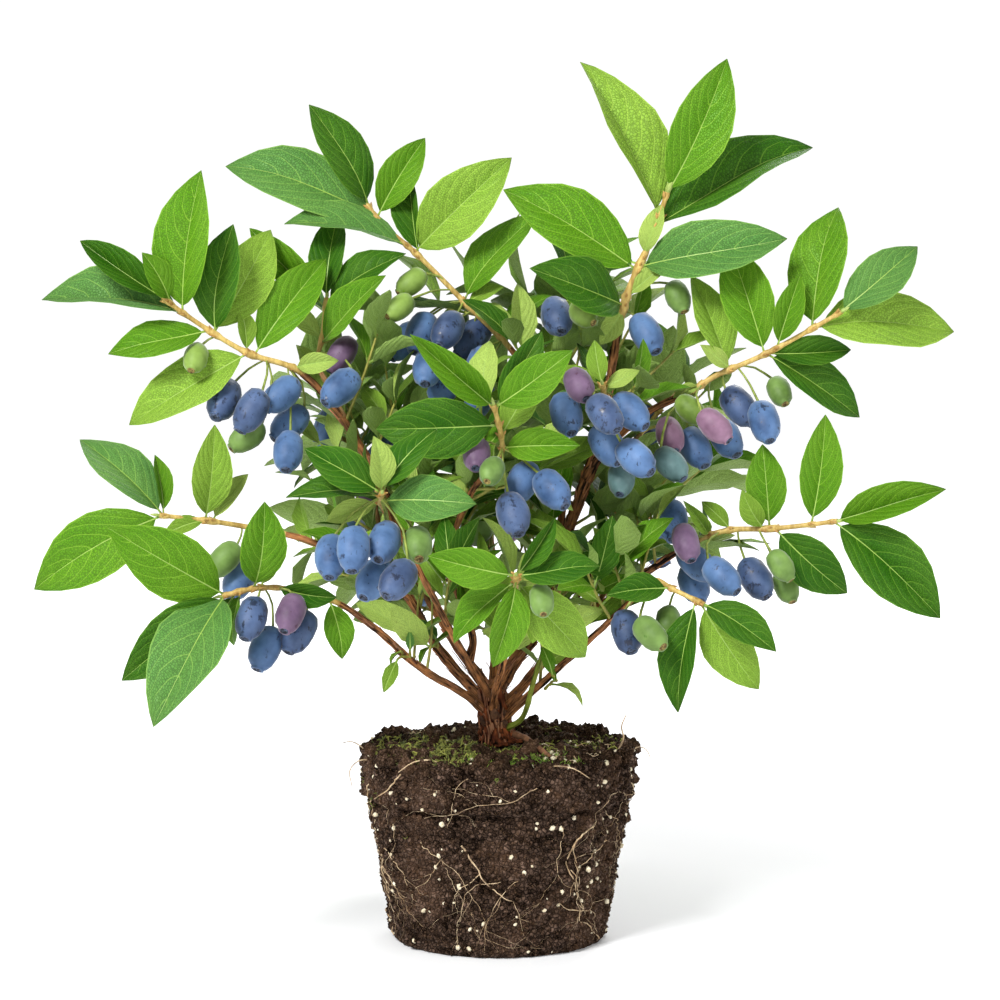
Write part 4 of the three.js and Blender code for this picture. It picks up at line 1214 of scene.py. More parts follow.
# %% Collect many small shapes into one mesh
class Pile:
    """Points and faces of many small shapes, made into one mesh at the end."""

    def __init__(self):
        self.points, self.faces, self.kinds, self.places, self.rims = [], [], [], [], []

    def add(self, points, faces, kinds, places, rims=None):
        first = len(self.points)
        self.points.extend(points)
        self.faces.extend([tuple(first + corner for corner in face) for face in faces])
        self.kinds.extend(kinds)
        self.places.extend(places)
        self.rims.extend(rims if rims is not None else [0] * len(points))

    def piece(self, name, materials):
        """The pile as one smooth object. An edge between two points of one rim stays sharp."""
        mesh = mesh_of(name, self.points, self.faces, unit=MM)
        for material in materials:
            mesh.materials.append(material)
        mesh.polygons.foreach_set("material_index", self.kinds)
        mesh.shade_smooth()
        set_attribute(mesh, "place", "FLOAT_VECTOR", self.places)
        if any(self.rims):
            rims = np.array(self.rims)
            pairs = np.zeros(len(mesh.edges) * 2, int)
            mesh.edges.foreach_get("vertices", pairs)
            ends = rims[pairs.reshape(-1, 2)]
            mesh.edges.foreach_set("use_edge_sharp", (ends[:, 0] > 0) & (ends[:, 0] == ends[:, 1]))
        mesh.update()
        print(name, "has", len(mesh.polygons), "faces")
        return scene_object(name, mesh)


# %% The shape of one leaf
BLADE_ROWS = (0, 0.04, 0.12, 0.24, 0.38, 0.53, 0.68, 0.82, 0.93, 1)
FINE_ROWS = (0, 0.12, 0.35, 0.65, 0.9, 1)
RIB_HALF = 0.26
# How leaves differ. A pair is the least and what chance adds, and some leaves are folded nearly shut
FOLD, SHUT_FOLD, SHUT_ABOVE = (0.12, 0.42), 0.4, 0.86
SWEEP, SWAY, RIPPLE = 0.035, 0.02, (0.012, 0.016)
FINE_FULLNESS, FULLNESS = 1.04, 1.08


def blade_half(t):
    """A blade's half width, as a share of its greatest: rounded at the base, pointed at the tip."""
    base, tip = 0.76, 0.94
    crest = base / (base + tip)
    return (t ** base * (1 - t) ** tip) / (crest ** base * (1 - crest) ** tip)


def inside_box(points, root):
    """A leaf that would stand proud of the CAD box is made smaller about its root until it fits."""
    steps = np.array(points) - root
    low, high = (np.array(corner) / MM - root for corner in CAD_BOX)
    over = max(1, (steps / low).max(), (steps / high).max())
    return list(root + steps / over)


def leaf_shell(leaf, draw, fine):
    """Points, faces, face kinds, places and rims of one leaf."""
    length, across, normal = leaf["length"], leaf["across"], leaf["normal"]
    stalk = min(PETIOLE["length"], 0.1 * length) / length
    fold = FOLD[0] + draw() * FOLD[1] + (SHUT_FOLD if draw() > SHUT_ABOVE else 0)
    sweep, sway = draw.spread(SWEEP), draw.spread(SWAY)
    phase, ripple = draw.turn(), RIPPLE[0] + draw() * RIPPLE[1]
    own = draw() * 40
    outer = leaf["width"] / 2 * (FINE_FULLNESS if fine else FULLNESS)
    halfway = [] if fine else [0.52]
    # A row: its share of the length, its half width, its depth, and its share of the blade
    rows = [(0.0, 0.55, 0.9, -0.02)]
    for t in (FINE_ROWS if fine else BLADE_ROWS):
        half = max(blade_half(t) * outer, 0.5 if t == 0 else 0.12)
        rows.append((stalk + (1 - stalk) * t, half, 0.75 - 0.55 * t, t))
    points, places, rims, tops = [], [], [], []
    for t, half, depth, along in rows:
        bow = 4 * t * (1 - t)
        mid = between(leaf["root"], leaf["tip"], t) + normal * (leaf.get("bend", LEAF["arch"]) * length * bow)
        mid = mid + across * (sweep * length * bow) + normal * (sway * length * math.sin(2 * math.pi * t))
        rib = min(RIB_HALF * (1.15 - t), half * 0.6) / half
        shares = [-1] + [-share for share in halfway] + [-rib, rib] + halfway + [1]
        # Edges that stay sharp: both margins, and both sides of the midrib
        middle, last = len(shares) // 2, len(shares) - 1
        creases = {0: 1, middle - 1: 2, middle: 3, last: 4}
        first = len(points)
        for column, share in enumerate(shares):
            away = abs(share)
            wave = ripple * length * math.sin(phase + 9 * along + 2 * np.sign(share)) * away ** 2 * bow
            lift = half * (math.sin(fold) * away + 0.10 * math.sin(math.pi * away)) + wave
            points.append(mid + across * (share * half * math.cos(fold)) + normal * lift)
            places.append((share, along, own))
            rims.append(creases.get(column, 0))
        points.append(mid - normal * depth)
        places.append((0, along, own))
        rims.append(0)
        tops.append((list(range(first, len(points) - 1)), len(points) - 1))
    faces, kinds = [], []
    shade = leaf["shade"]
    ribs = len(tops[0][0]) // 2 - 1
    for k in range(len(rows) - 1):
        (top, low), (next_top, next_low) = tops[k], tops[k + 1]
        for i in range(len(top) - 1):
            faces.append((top[i], top[i + 1], next_top[i + 1], next_top[i]))
            kinds.append(RIB if i == ribs or k == 0 else shade)
        faces.append((top[0], next_top[0], next_low, low))
        faces.append((low, next_low, next_top[-1], top[-1]))
        kinds += [RIB if k == 0 else UNDER] * 2
    faces.append(tuple(tops[0][0][::-1] + [tops[0][1]]))
    faces.append(tuple(tops[-1][0] + [tops[-1][1]]))
    kinds += [RIB, shade]
    return inside_box(points, leaf["root"]), faces, kinds, places, rims


# %% Grow the leaf meshes
YOUNG_LENGTH, YOUNG_SHARE = 26, 0.42
YOUNG_TINT, LIGHT_TINT = list(LEAF_TINTS).index("leaf_young"), list(LEAF_TINTS).index("leaf_light")
# Up to which random number an older leaf takes each tint
TINT_STEPS = (0.32, 0.72, 0.9, 0.9, 1.01)


def shade_of(draw, young):
    """Deals a tint: pale to the young leaves, deeper ones with age, now and then bluish."""
    roll = draw()
    if young:
        return YOUNG_TINT if roll < 0.4 else LIGHT_TINT
    return next(shade for shade, step in enumerate(TINT_STEPS) if roll < step)


draw = Seeded(SEED + 17)
leaves = Pile()
for spray in sprays.values():
    for leaf in spray["leaves"]:
        leaf["shade"] = shade_of(draw, leaf["length"] < YOUNG_LENGTH)
        leaves.add(*leaf_shell(leaf, draw, False))
leaf_piece = leaves.piece("leaves", LEAF_SLOTS)

small_leaves = Pile()
for twig in fine_twigs:
    for leaf in twig["leaves"]:
        leaf["shade"] = shade_of(draw, draw() < YOUNG_SHARE)
        small_leaves.add(*leaf_shell(leaf, draw, True))
small_leaf_piece = small_leaves.piece("small_leaves", LEAF_SLOTS)

# %% [markdown]
# ## Stems with bark
# The stump and the stems are tubes whose rings are pushed in and out by noise that is stretched along the
# stem, so the relief is in the mesh and not only in the shading. The rings are carried along the curve
# without twisting. A stem swells where it leaves its parent, as a real fork does. One young stem at the
# stump is still green. Loose shreds of bark are short strips that lie along the wood with one end lifted.

# %% A tube with relief
ODD_WAY = vec(0.3, 0.9, 0.1)


def frames_along(curve, count):
    """Points and two side vectors along a curve, carried on without a twist."""
    rows = []
    side = None
    for i in range(count + 1):
        point, ahead = curve.at(i / count), curve.ahead(i / count)
        if side is None:
            side = unit(cross(ahead, ODD_WAY))
        side = unit(side - ahead * (side @ ahead))
        rows.append((point, side, cross(ahead, side)))
    return rows


def bark_relief(place, radius):
    """How far bark stands out, in mm: ridges along the stem, and lumps."""
    x, y, z = place
    ridges = noise.noise(Vector((x * 0.9, y * 0.9, z * 0.09)))
    fine = noise.noise(Vector((x * 2.4, y * 2.4, z * 0.22 + 9)))
    lumps = noise.noise(Vector((x * 0.3, y * 0.3, z * 0.16 + 31)))
    rough = 1.9 if radius > 4 else 1.2
    return radius * rough * (0.15 * ridges + 0.10 * fine + 0.17 * lumps)


def tube_faces(count, sides):
    """Faces between rings of the same number of points, one ring after another."""
    faces = []
    for i in range(count):
        for k in range(sides):
            a, b = i * sides + k, i * sides + (k + 1) % sides
            faces.append((a, b, b + sides, a + sides))
    return faces


def add_limb(pile, curve, radius_at, sides, step, kind, seed):
    """Adds one limb as a closed tube."""
    length = curve.length()
    count = max(2, round(length / step))
    points, places = [], []
    for i, (point, side, other) in enumerate(frames_along(curve, count)):
        radius = radius_at(i / count)
        for k in range(sides):
            angle = 2 * math.pi * k / sides
            place = (radius * math.cos(angle) + seed * 7, radius * math.sin(angle), i / count * length)
            out = radius + bark_relief(place, radius)
            points.append(point + side * (math.cos(angle) * out) + other * (math.sin(angle) * out))
            places.append([x * MM for x in place])
    faces = tube_faces(count, sides)
    for start, at_end in ((0, False), (count * sides, True)):
        points.append(sum(points[start:start + sides]) / sides)
        places.append(places[start])
        hub = len(points) - 1
        for k in range(sides):
            a, b = start + k, start + (k + 1) % sides
            faces.append((a, b, hub) if at_end else (b, a, hub))
    pile.add(points, faces, [kind] * len(faces), places)


def collar(radius_at, length, parent_radius, swell):
    """Swells a limb's foot, where it leaves its parent."""
    reach = parent_radius + 3
    return lambda t: radius_at(t) * (1 + swell * math.exp(-((t * length / reach) ** 2)))


BARK_STUMP, BARK_STEM, BARK_YOUNG, BARK_GREEN = 0, 1, 2, 3
STUMP_RADIUS, FOOT_SWELL = 5.5, 0.45
STUMP_SIDES, STEM_SIDES, THIN_SIDES = 44, 18, 14
STUMP_STEP, STEM_STEP = 0.55, 1.1
wood = Pile()
add_limb(wood, curves["trunk"], trunk_radius, STUMP_SIDES, STUMP_STEP, BARK_STUMP, 0)
for index, (stem, bough) in enumerate(BOUGHS.items()):
    foot, tip = bough["radius"]
    parent = bough["from"][0]
    parent_radius = STUMP_RADIUS if parent == "trunk" else BOUGHS[parent]["radius"][0]
    taper = collar(radius_line(foot, tip), curves[stem].length(), parent_radius, FOOT_SWELL)
    kind = BARK_GREEN if stem == "low_centre" else BARK_STEM if tip > 1 else BARK_YOUNG
    add_limb(wood, curves[stem], taper, THIN_SIDES if foot < 2 else STEM_SIDES, STEM_STEP, kind, index + 1)


# %% Bark materials
def bark_material(name, deep, light, other, fineness, rough, relief):
    """Furrows, darkened partly as the bark's own fissures and partly as painted shade, between ridges that
    drift from the light tint to another.
    """
    made, tree, shader = new_material(name, rough, Specular_IOR_Level=0.12)
    place = place_of(tree, own=True)
    parts = use(tree, fibres, Place=place, Fineness=fineness)
    drift = remap(tree, noise_of(tree, place, 160, 3), 0.35, 0.65)
    warm = blend_of(tree, drift, rgb(light), rgb(other))
    # The deep tint lies in the furrows, where the bump sinks: partly the bark's own dark fissures, partly
    # painted shade
    color = blend_of(tree, remap(tree, parts["Streak"], 0.15, 0.75), rgb(deep), warm)
    fill(tree, shader.inputs, {"Base Color": color})
    bump(tree, shader, parts["Height"], 0.8, relief)
    return made


WOOD_SLOTS = [
    bark_material("bark_stump", (11, 4, 2), (160, 88, 50), (80, 40, 26), 1.0, 0.85, 1.4),
    bark_material("bark_stem", (18, 8, 4), (192, 128, 78), (132, 92, 62), 1.2, 0.8, 1.0),
    bark_material("bark_young", (96, 64, 38), (190, 148, 98), (150, 112, 72), 1.5, 0.7, 0.5),
    bark_material("bark_green", (76, 94, 28), (144, 160, 62), (120, 124, 50), 1.5, 0.6, 0.3),
]
wood_piece = wood.piece("wood", WOOD_SLOTS)


def root_material(name, deep, light, stain=(86, 60, 42)):
    """The skin of roots and stubs, streaked like wood."""
    return fibre_material(name, deep, light, 0.6, 0.75, 0.5, 0.2, glint=0.3, stain=stain)


# %% Shreds of bark
SHREDS = {
    "trunk": 90, "leader": 60, "upper_left": 50, "left": 34, "right_low": 30, "low_left": 20, "back": 16,
}
SHRED_STEPS = 4
# The four corners of a shred's section: across it, and out from the wood
SHRED_SECTION = ((-1, 0), (0, 0.12), (1, 0), (0, -0.22))


def add_shred(pile, curve, radius_at, draw):
    """A strip that narrows toward both ends, its far end lifted off the wood."""
    length = curve.length()
    start, span = draw() ** 1.4 * 0.85, (3 + draw() * 7) / length
    angle, wide, lift = draw.turn(), 0.35 + draw() * 0.6, 0.3 + draw() ** 2 * 1.5
    points, places = [], []
    for k in range(SHRED_STEPS + 1):
        share = k / SHRED_STEPS
        t = min(start + span * share, 0.99)
        point, ahead = curve.at(t), curve.ahead(t)
        out = turned(unit(cross(ahead, ODD_WAY)), ahead, angle)
        flat = cross(ahead, out)
        up = radius_at(t) * 1.04 + 0.1 + lift * share ** 2
        half = wide * (1 - 0.7 * abs(share - 0.35))
        for sideways, outward in SHRED_SECTION:
            points.append(point + out * (up + outward) + flat * (sideways * half))
            places.append(((sideways * half + 3) * MM, angle * MM, t * length * MM))
    faces = [(b, a, d, c) for a, b, c, d in tube_faces(SHRED_STEPS, 4)]
    faces += [(0, 1, 2, 3), tuple(range(len(points) - 1, len(points) - 5, -1))]
    pile.add(points, faces, [0] * len(faces), places)


shreds = Pile()
draw = Seeded(SEED + 23)
for stem, count in SHREDS.items():
    radius_at = trunk_radius if stem == "trunk" else radius_line(*BOUGHS[stem]["radius"])
    for _ in range(count):
        add_shred(shreds, curves[stem], radius_at, draw)
shred_look = bark_material("bark_shred", (90, 50, 34), (190, 130, 92), (140, 108, 84), 1.2, 0.85, 0.3)
shred_piece = shreds.piece("bark_shreds", [shred_look])

# %% [markdown]
# ## Tubes along paths, with Geometry Nodes
# Shoots, twigs, berry stalks and roots are all thin tubes along a path. Geometry Nodes suit that well: the
# script lays plain lines with a radius at each point, and one tree turns every line into a tube. The same
# tree serves all of them, with its own number of sides and its own material.

# %% The tree that makes tubes
def geometry_tree(name, inputs):
    """An empty geometry tree with named inputs."""
    tree = bpy.data.node_groups.new(name, "GeometryNodeTree")
    tree.interface.new_socket("Geometry", in_out="INPUT", socket_type="NodeSocketGeometry")
    for label, kind in inputs:
        tree.interface.new_socket(label, in_out="INPUT", socket_type=kind)
    tree.interface.new_socket("Geometry", in_out="OUTPUT", socket_type="NodeSocketGeometry")
    return tree, tree.nodes.new("NodeGroupInput").outputs


def finish_tree(tree, geometry, material):
    """Ends a tree: instances made real, smooth faces and a material."""
    real = put(tree, "GeometryNodeRealizeInstances", {"Geometry": geometry}).outputs[0]
    smooth = put(tree, "GeometryNodeSetShadeSmooth", {"Geometry": real}).outputs[0]
    painted = put(tree, "GeometryNodeSetMaterial", {"Geometry": smooth, "Material": material}).outputs[0]
    put(tree, "NodeGroupOutput", {"Geometry": painted})


def grown_piece(name, mesh, tree, values):
    """Runs a tree over a mesh and keeps the result as a plain mesh."""
    made = scene_object(name, mesh)
    modifier = made.modifiers.new("grow", "NODES")
    modifier.node_group = tree
    for item in tree.interface.items_tree:
        if item.item_type == "SOCKET" and item.in_out == "INPUT" and item.name in values:
            modifier[item.identifier] = values[item.name]
    depsgraph = bpy.context.evaluated_depsgraph_get()
    result = bpy.data.meshes.new_from_object(made.evaluated_get(depsgraph), depsgraph=depsgraph)
    made.modifiers.clear()
    made.data = result
    result.name = name
    print(name, "has", len(result.polygons), "faces")
    return made


def live(sockets, label):
    """Of sockets with the same name, the one that the node's data type switches on."""
    return next(one for one in sockets if one.enabled and one.name == label)


def attribute_of(tree, label, kind):
    """A value that the points carry under this name."""
    node = put(tree, "GeometryNodeInputNamedAttribute", {"Name": label}, data_type=kind)
    return live(node.outputs, "Attribute")


tube_tree, given = geometry_tree("tubes", [("Sides", "NodeSocketInt"), ("Material", "NodeSocketMaterial")])
lines = put(tube_tree, "GeometryNodeMeshToCurve", {"Mesh": given["Geometry"]}).outputs[0]
thick = attribute_of(tube_tree, "radius", "FLOAT")
ring = put(tube_tree, "GeometryNodeCurvePrimitiveCircle", {"Resolution": given["Sides"], "Radius": 1.0})
lines = put(tube_tree, "GeometryNodeSetCurveRadius", {"Curve": lines, "Radius": thick}).outputs[0]
tubing = put(tube_tree, "GeometryNodeCurveToMesh", {
    "Curve": lines, "Profile Curve": ring.outputs["Curve"], "Fill Caps": True})
if "Scale" in tubing.inputs:
    fill(tube_tree, tubing.inputs, {"Scale": thick})
finish_tree(tube_tree, tubing.outputs[0], given["Material"])


def lines_mesh(name, paths):
    """Lines as a mesh of edges. A path is a list of points, each with its radius, in millimetres."""
    points, edges, radii = [], [], []
    for path in paths:
        first = len(points)
        edges += [(first + k, first + k + 1) for k in range(len(path) - 1)]
        for point, radius in path:
            points.append(point)
            radii.append(radius * MM)
    mesh = mesh_of(name, points, edges=edges, unit=MM)
    set_attribute(mesh, "radius", "FLOAT", radii)
    return mesh


def taper_path(curve, start, end, steps):
    """A path along a whole curve whose radius runs from one value to another."""
    return [(curve.at(k / steps), between(start, end, k / steps)) for k in range(steps + 1)]


def tubes(name, paths, sides, material):
    """A piece of tubes along paths."""
    lines = lines_mesh(name + "_lines", paths)
    return grown_piece(name, lines, tube_tree, {"Sides": sides, "Material": material})


print("the tube tree has", len(tube_tree.nodes), "nodes")

# %% Shoots and twigs
def shoot_material(name, deep, light):
    """The skin of shoots, stalks, scales and buds."""
    return fibre_material(name, deep, light, 0.7, 0.5, 0.5, 0.25, glint=0.35)


SHOOT_STEP, SINK = 2.2, 1.2
SHOOT_END = 0.95
NODE_SWELL, NODE_REACH = 0.55, 1.3


def shoot_path(curve, start, end, nodes):
    """A shoot from inside the wood's tip to its own end, a little thicker at its nodes."""
    length = curve.length()
    path = [(curve.at(0) - curve.ahead(0) * SINK, start * 0.96)]
    steps = max(4, round(length / SHOOT_STEP))
    for k, (point, radius) in enumerate(taper_path(curve, start, end, steps)):
        swell = sum(math.exp(-(((k / steps - node) * length / NODE_REACH) ** 2)) for node in nodes)
        path.append((point, radius * (1 + NODE_SWELL * min(swell, 1))))
    return path


shoot_paths, twig_paths = [], []
for stem, spray in sprays.items():
    bough = BOUGHS[stem]
    stations = {round(node_at(spray["curve"], row[0]), 2) for row in bough.get("leaves", ())}
    if "rule" in bough:
        stations = {between(0.2, 1, k / (bough["rule"]["nodes"] - 1)) for k in range(bough["rule"]["nodes"])}
    spray["stations"] = sorted(stations)
    shoot_paths.append(shoot_path(spray["curve"], bough["radius"][1], SHOOT_END, stations))
    twig_paths += [taper_path(twig, 1.0, 0.75, 4) for twig in spray["twigs"]]
twig_paths += [taper_path(twig["curve"], 0.75, 0.5, 5) for twig in fine_twigs]

shoot_skin = shoot_material("shoot_skin", (146, 116, 50), (208, 180, 104))
twig_skin = shoot_material("twig_skin", (120, 116, 48), (170, 168, 82))
shoot_piece = tubes("shoots", shoot_paths, 10, shoot_skin)
twig_piece = tubes("twigs", twig_paths, 6, twig_skin)

# %% [markdown]
# ## Berries
# A haskap berry is a small barrel. A waxy bloom makes it pale blue, and where the bloom is rubbed off the
# navy skin shows. Its free end has a ringed eye, the dried rest of the flower. Unripe ones are green, and
# turning ones are purple, rosy or teal.
#
# Berries are the classic case for instances: one template, placed on points that carry a direction and a
# size. The tree makes them real and gives each its own lumps, so no two are quite alike.

# %% The tree that hangs shapes on points
WOBBLE_SCALE = 160.0
hang_tree, given = geometry_tree("hang", [
    ("Shape", "NodeSocketObject"), ("Lumps", "NodeSocketFloat"), ("Material", "NodeSocketMaterial")])
axis = attribute_of(hang_tree, "axis", "FLOAT_VECTOR")
turn = attribute_of(hang_tree, "turn", "FLOAT")
spin = put(hang_tree, "FunctionNodeAxisAngleToRotation", {"Axis": (0, 0, 1), "Angle": turn}).outputs[0]
facing = put(hang_tree, "FunctionNodeAlignRotationToVector", {"Vector": axis}, axis="Z").outputs[0]
pose = put(hang_tree, "FunctionNodeRotateRotation", {
    "Rotation": facing, "Rotate By": spin}, rotation_space="LOCAL").outputs[0]
shape = put(hang_tree, "GeometryNodeObjectInfo", {"Object": given["Shape"]}).outputs["Geometry"]
placed = put(hang_tree, "GeometryNodeInstanceOnPoints", {
    "Points": given["Geometry"], "Instance": shape, "Rotation": pose,
    "Scale": attribute_of(hang_tree, "size", "FLOAT_VECTOR")}).outputs[0]
real = put(hang_tree, "GeometryNodeRealizeInstances", {"Geometry": placed}).outputs[0]
wobble = put(hang_tree, "ShaderNodeTexNoise", {"Scale": WOBBLE_SCALE, "Detail": 1.0}).outputs["Fac"]
push = times(hang_tree, minus(hang_tree, wobble, 0.5), given["Lumps"])
outward = put(hang_tree, "GeometryNodeInputNormal").outputs[0]
shift = put(hang_tree, "ShaderNodeVectorMath", {0: outward, "Scale": push}, operation="SCALE")
lumpy = put(hang_tree, "GeometryNodeSetPosition", {"Geometry": real, "Offset": shift.outputs[0]}).outputs[0]
finish_tree(hang_tree, lumpy, given["Material"])


def template(name, profile, sides):
    """A turned shape of length one and width one along its own Z, closed at both poles."""
    points = [(0, 0, profile[0][1])]
    for radius, height in profile[1:-1]:
        for k in range(sides):
            angle = 2 * math.pi * k / sides
            points.append((radius * math.cos(angle), radius * math.sin(angle), height))
    points.append((0, 0, profile[-1][1]))
    faces = []
    rings = len(profile) - 2
    for k in range(sides):
        b = (k + 1) % sides
        faces.append((0, 1 + k, 1 + b))
        last = 1 + (rings - 1) * sides
        faces.append((len(points) - 1, last + b, last + k))
        for i in range(rings - 1):
            a = 1 + i * sides
            faces.append((a + k, a + sides + k, a + sides + b, a + b))
    return scene_object(name, mesh_of(name, points, faces))


def hung(name, shape, rows, lumps, material):
    """A piece of shapes on points. A row says where one is, its turn, its axis and its size, in mm."""
    places, turns, axes, sizes = zip(*rows)
    mesh = mesh_of(name + "_points", places, unit=MM)
    set_attribute(mesh, "turn", "FLOAT", turns)
    set_attribute(mesh, "axis", "FLOAT_VECTOR", axes)
    set_attribute(mesh, "size", "FLOAT_VECTOR", np.array(sizes) * MM)
    return grown_piece(name, mesh, hang_tree, {"Shape": shape, "Lumps": lumps * MM, "Material": material})


# Along its Z a berry runs from its stalk end, which is up, to its eye, which is down
BERRY_PROFILE = (
    (0, 0.5), (0.17, 0.487), (0.34, 0.42), (0.455, 0.27), (0.5, 0.06), (0.485, -0.14), (0.40, -0.33),
    (0.285, -0.43), (0.215, -0.465), (0.22, -0.505), (0.155, -0.515), (0, -0.44),
)
EYE_PROFILE = ((0, -0.42), (0.15, -0.46), (0.165, -0.512), (0.12, -0.53), (0.07, -0.49), (0, -0.50))
berry_shape = template("berry_shape", BERRY_PROFILE, 12)
eye_shape = template("eye_shape", EYE_PROFILE, 9)
print("a berry has", len(berry_shape.data.polygons), "faces and its eye", len(eye_shape.data.polygons))

# %% Berry materials and dealing
BERRY_TINTS = {
    "berry_blue": {"skin": (14, 24, 50), "bloom": (58, 98, 152), "rubbed": 0.74},
    "berry_navy": {"skin": (12, 18, 38), "bloom": (40, 66, 112), "rubbed": 0.92},
    "berry_purple": {"skin": (70, 34, 58), "bloom": (98, 66, 102), "rubbed": 0.62},
    "berry_rosy": {"skin": (112, 52, 70), "bloom": (136, 92, 122), "rubbed": 0.55},
    "berry_teal": {"skin": (36, 70, 66), "bloom": (66, 104, 104), "rubbed": 0.55},
    "berry_grey_green": {"skin": (70, 110, 24), "bloom": (98, 138, 44), "rubbed": 0.5},
    "berry_green": {"skin": (94, 134, 22), "bloom": (116, 152, 40), "rubbed": 0.45},
}


def berry_material(name, skin_tint, bloom_tint, rubbed):
    """A clouded bloom over the skin, which shows where the bloom is rubbed off."""
    made, tree, shader = new_material(
        name, 0.5, Specular_IOR_Level=0.4, Sheen_Weight=0.24, Sheen_Roughness=0.4)
    parts = use(tree, bloom, Place=place_of(tree), Rubbed=rubbed)
    cloud = [c + (228 - c) * 0.18 for c in bloom_tint]
    soft = blend_of(tree, parts["Cloud"], rgb(bloom_tint, 0.72), rgb(cloud))
    color = blend_of(tree, times(tree, parts["Rub"], 0.8), soft, rgb(skin_tint))
    rough = remap(tree, parts["Rub"], 0, 1, 0.58, 0.33)
    fill(tree, shader.inputs, {"Base Color": color, "Roughness": rough})
    bump(tree, shader, parts["Height"], 0.35, 0.4)
    return made


def speckled(name, deep, light, rough, scale, detail, low, high, strength=0, relief=0.2):
    """Two tints mixed by fine noise, for eyes, grit and moss."""
    made, tree, shader = new_material(name, rough)
    spots = remap(tree, noise_of(tree, place_of(tree), scale, detail), low, high)
    fill(tree, shader.inputs, {"Base Color": blend_of(tree, spots, rgb(deep), rgb(light))})
    if strength:
        bump(tree, shader, spots, strength, relief)
    return made


def eye_material(name, deep, light):
    """The dried ring at a berry's free end."""
    return speckled(name, deep, light, 0.7, 800, 2, 0.4, 0.6, 0.5)


# Berries nod outward a little, away from the upright line through this point
CROWN_AXIS, NOD_OUT = vec(0, 20, 0), 0.55


def tint_of(kind, draw):
    """Deals a berry its tint."""
    roll = draw()
    if kind == "ripe":
        return "berry_blue" if roll < 0.7 else "berry_navy"
    if kind == "green":
        return "berry_green" if roll < 0.55 else "berry_grey_green"
    return ("berry_purple", "berry_rosy", "berry_teal", "berry_grey_green")[int(roll * 3.99)]


draw = Seeded(SEED + 31)
by_tint = {name: [] for name in BERRY_TINTS}
stalk_paths = []
for spray in sprays.values():
    for berry in spray["berries"]:
        root, centre = berry["root"], berry["centre"]
        long, wide = BERRY[berry["kind"]]
        scale = 0.97 + draw() * 0.06
        outward = unit((centre - CROWN_AXIS) * vec(1, 1, 0))
        axis = unit(berry["axis"] + outward * NOD_OUT)
        row = (centre, draw.turn(), -axis, (wide * scale, wide * scale, long * scale))
        by_tint[tint_of(berry["kind"], draw)].append(row)
        top = centre - axis * (long * 0.46)
        pull = size_of(top - root) * 0.35
        stalk = Bend([root, between(root, top, 0.55) - axis * pull * 0.5, top])
        stalk_paths.append(taper_path(stalk, 0.42, 0.6, 4))

berry_pieces = []
for name, rows in by_tint.items():
    if rows:
        tint = BERRY_TINTS[name]
        skin_look = berry_material(name, tint["skin"], tint["bloom"], tint["rubbed"])
        berry_pieces.append(hung(name.replace("berry", "berries"), berry_shape, rows, 1.3, skin_look))
# The eyes are dark on coloured berries and tan on green ones
for name, greens, deep, light in (
    ("dark_eyes", False, (14, 18, 32), (72, 86, 112)), ("tan_eyes", True, (84, 62, 26), (156, 138, 74)),
):
    rows = [row for tint, rows in by_tint.items() if tint.endswith("green") == greens for row in rows]
    berry_pieces.append(hung(name, eye_shape, rows, 0.0, eye_material(name, deep, light)))
stalk_skin = shoot_material("stalk_skin", (96, 112, 40), (152, 166, 76))
stalk_piece = tubes("berry_stalks", stalk_paths, 6, stalk_skin)

# %% [markdown]
# ## Buds, scales and stubs
# Every shoot ends in a bud between its last two leaves, and the leader's is the largest thing at the very
# top. Under each leaf pair sit two papery scales, left from last year's bud. Short stubs on stems and stump
# show where twigs broke off. The berries' tree hangs them all, from one more template.

# %% Hang buds, scales and stubs
BUD_PROFILE = ((0, 0.5), (0.14, 0.36), (0.3, 0.1), (0.36, -0.15), (0.28, -0.4), (0, -0.5))
bud_shape = template("bud_shape", BUD_PROFILE, 8)
BUD_LENGTH, LEADER_BUD_LENGTH = 5, 9
SCALE_SIZE = (2.1, 2.1, 4.6)
STUBS = {"first": 14.0, "end": 4, "gap": (7, 14), "sunk": 0.85, "on_trunk": 34}
bud_rows, scale_rows, stub_rows = [], [], []
draw = Seeded(SEED + 37)
for stem, spray in sprays.items():
    curve, (foot, tip) = spray["curve"], BOUGHS[stem]["radius"]
    long = LEADER_BUD_LENGTH if stem == "leader" else BUD_LENGTH
    ahead = curve.ahead(1)
    bud_rows.append((curve.at(1) + ahead * long * 0.35, 0.0, ahead, (long * 0.45, long * 0.45, long)))
    for along in spray["stations"]:
        for half in (0, math.pi):
            side = aside(curve, min(along, 0.98), half + draw.spread(0.8))
            axis = unit(curve.ahead(along) + side * 0.8)
            scale_rows.append((curve.at(along) + side * tip, 0.0, axis, SCALE_SIZE))
    curve, at = curves[stem], STUBS["first"]
    while at < curve.length() - STUBS["end"]:
        along = at / curve.length()
        side = aside(curve, along, draw.turn())
        big = between(foot, tip, along)
        stub_rows.append((
            curve.at(along) + side * big * STUBS["sunk"], draw.turn(),
            unit(side + curve.ahead(along) * draw()), (big * 0.9, big * 0.9, big * (0.9 + draw() * 1.3)),
        ))
        at += STUBS["gap"][0] + draw() * STUBS["gap"][1]
for _ in range(STUBS["on_trunk"]):
    along = 0.3 + draw() * 0.7
    side = aside(curves["trunk"], along, draw.turn())
    big = 3 + draw() * 4.5
    at = curves["trunk"].at(along) + side * trunk_radius(along) * STUBS["sunk"]
    stub_rows.append((at, draw.turn(), unit(side + UP * 0.6), (big, big, big * 1.2)))
bud_skin = shoot_material("bud_skin", (138, 158, 78), (178, 192, 110))
scale_skin = shoot_material("scale_skin", (130, 92, 40), (204, 164, 92))
stub_skin = root_material("stub_skin", (54, 32, 22), (142, 100, 70), (40, 24, 17))
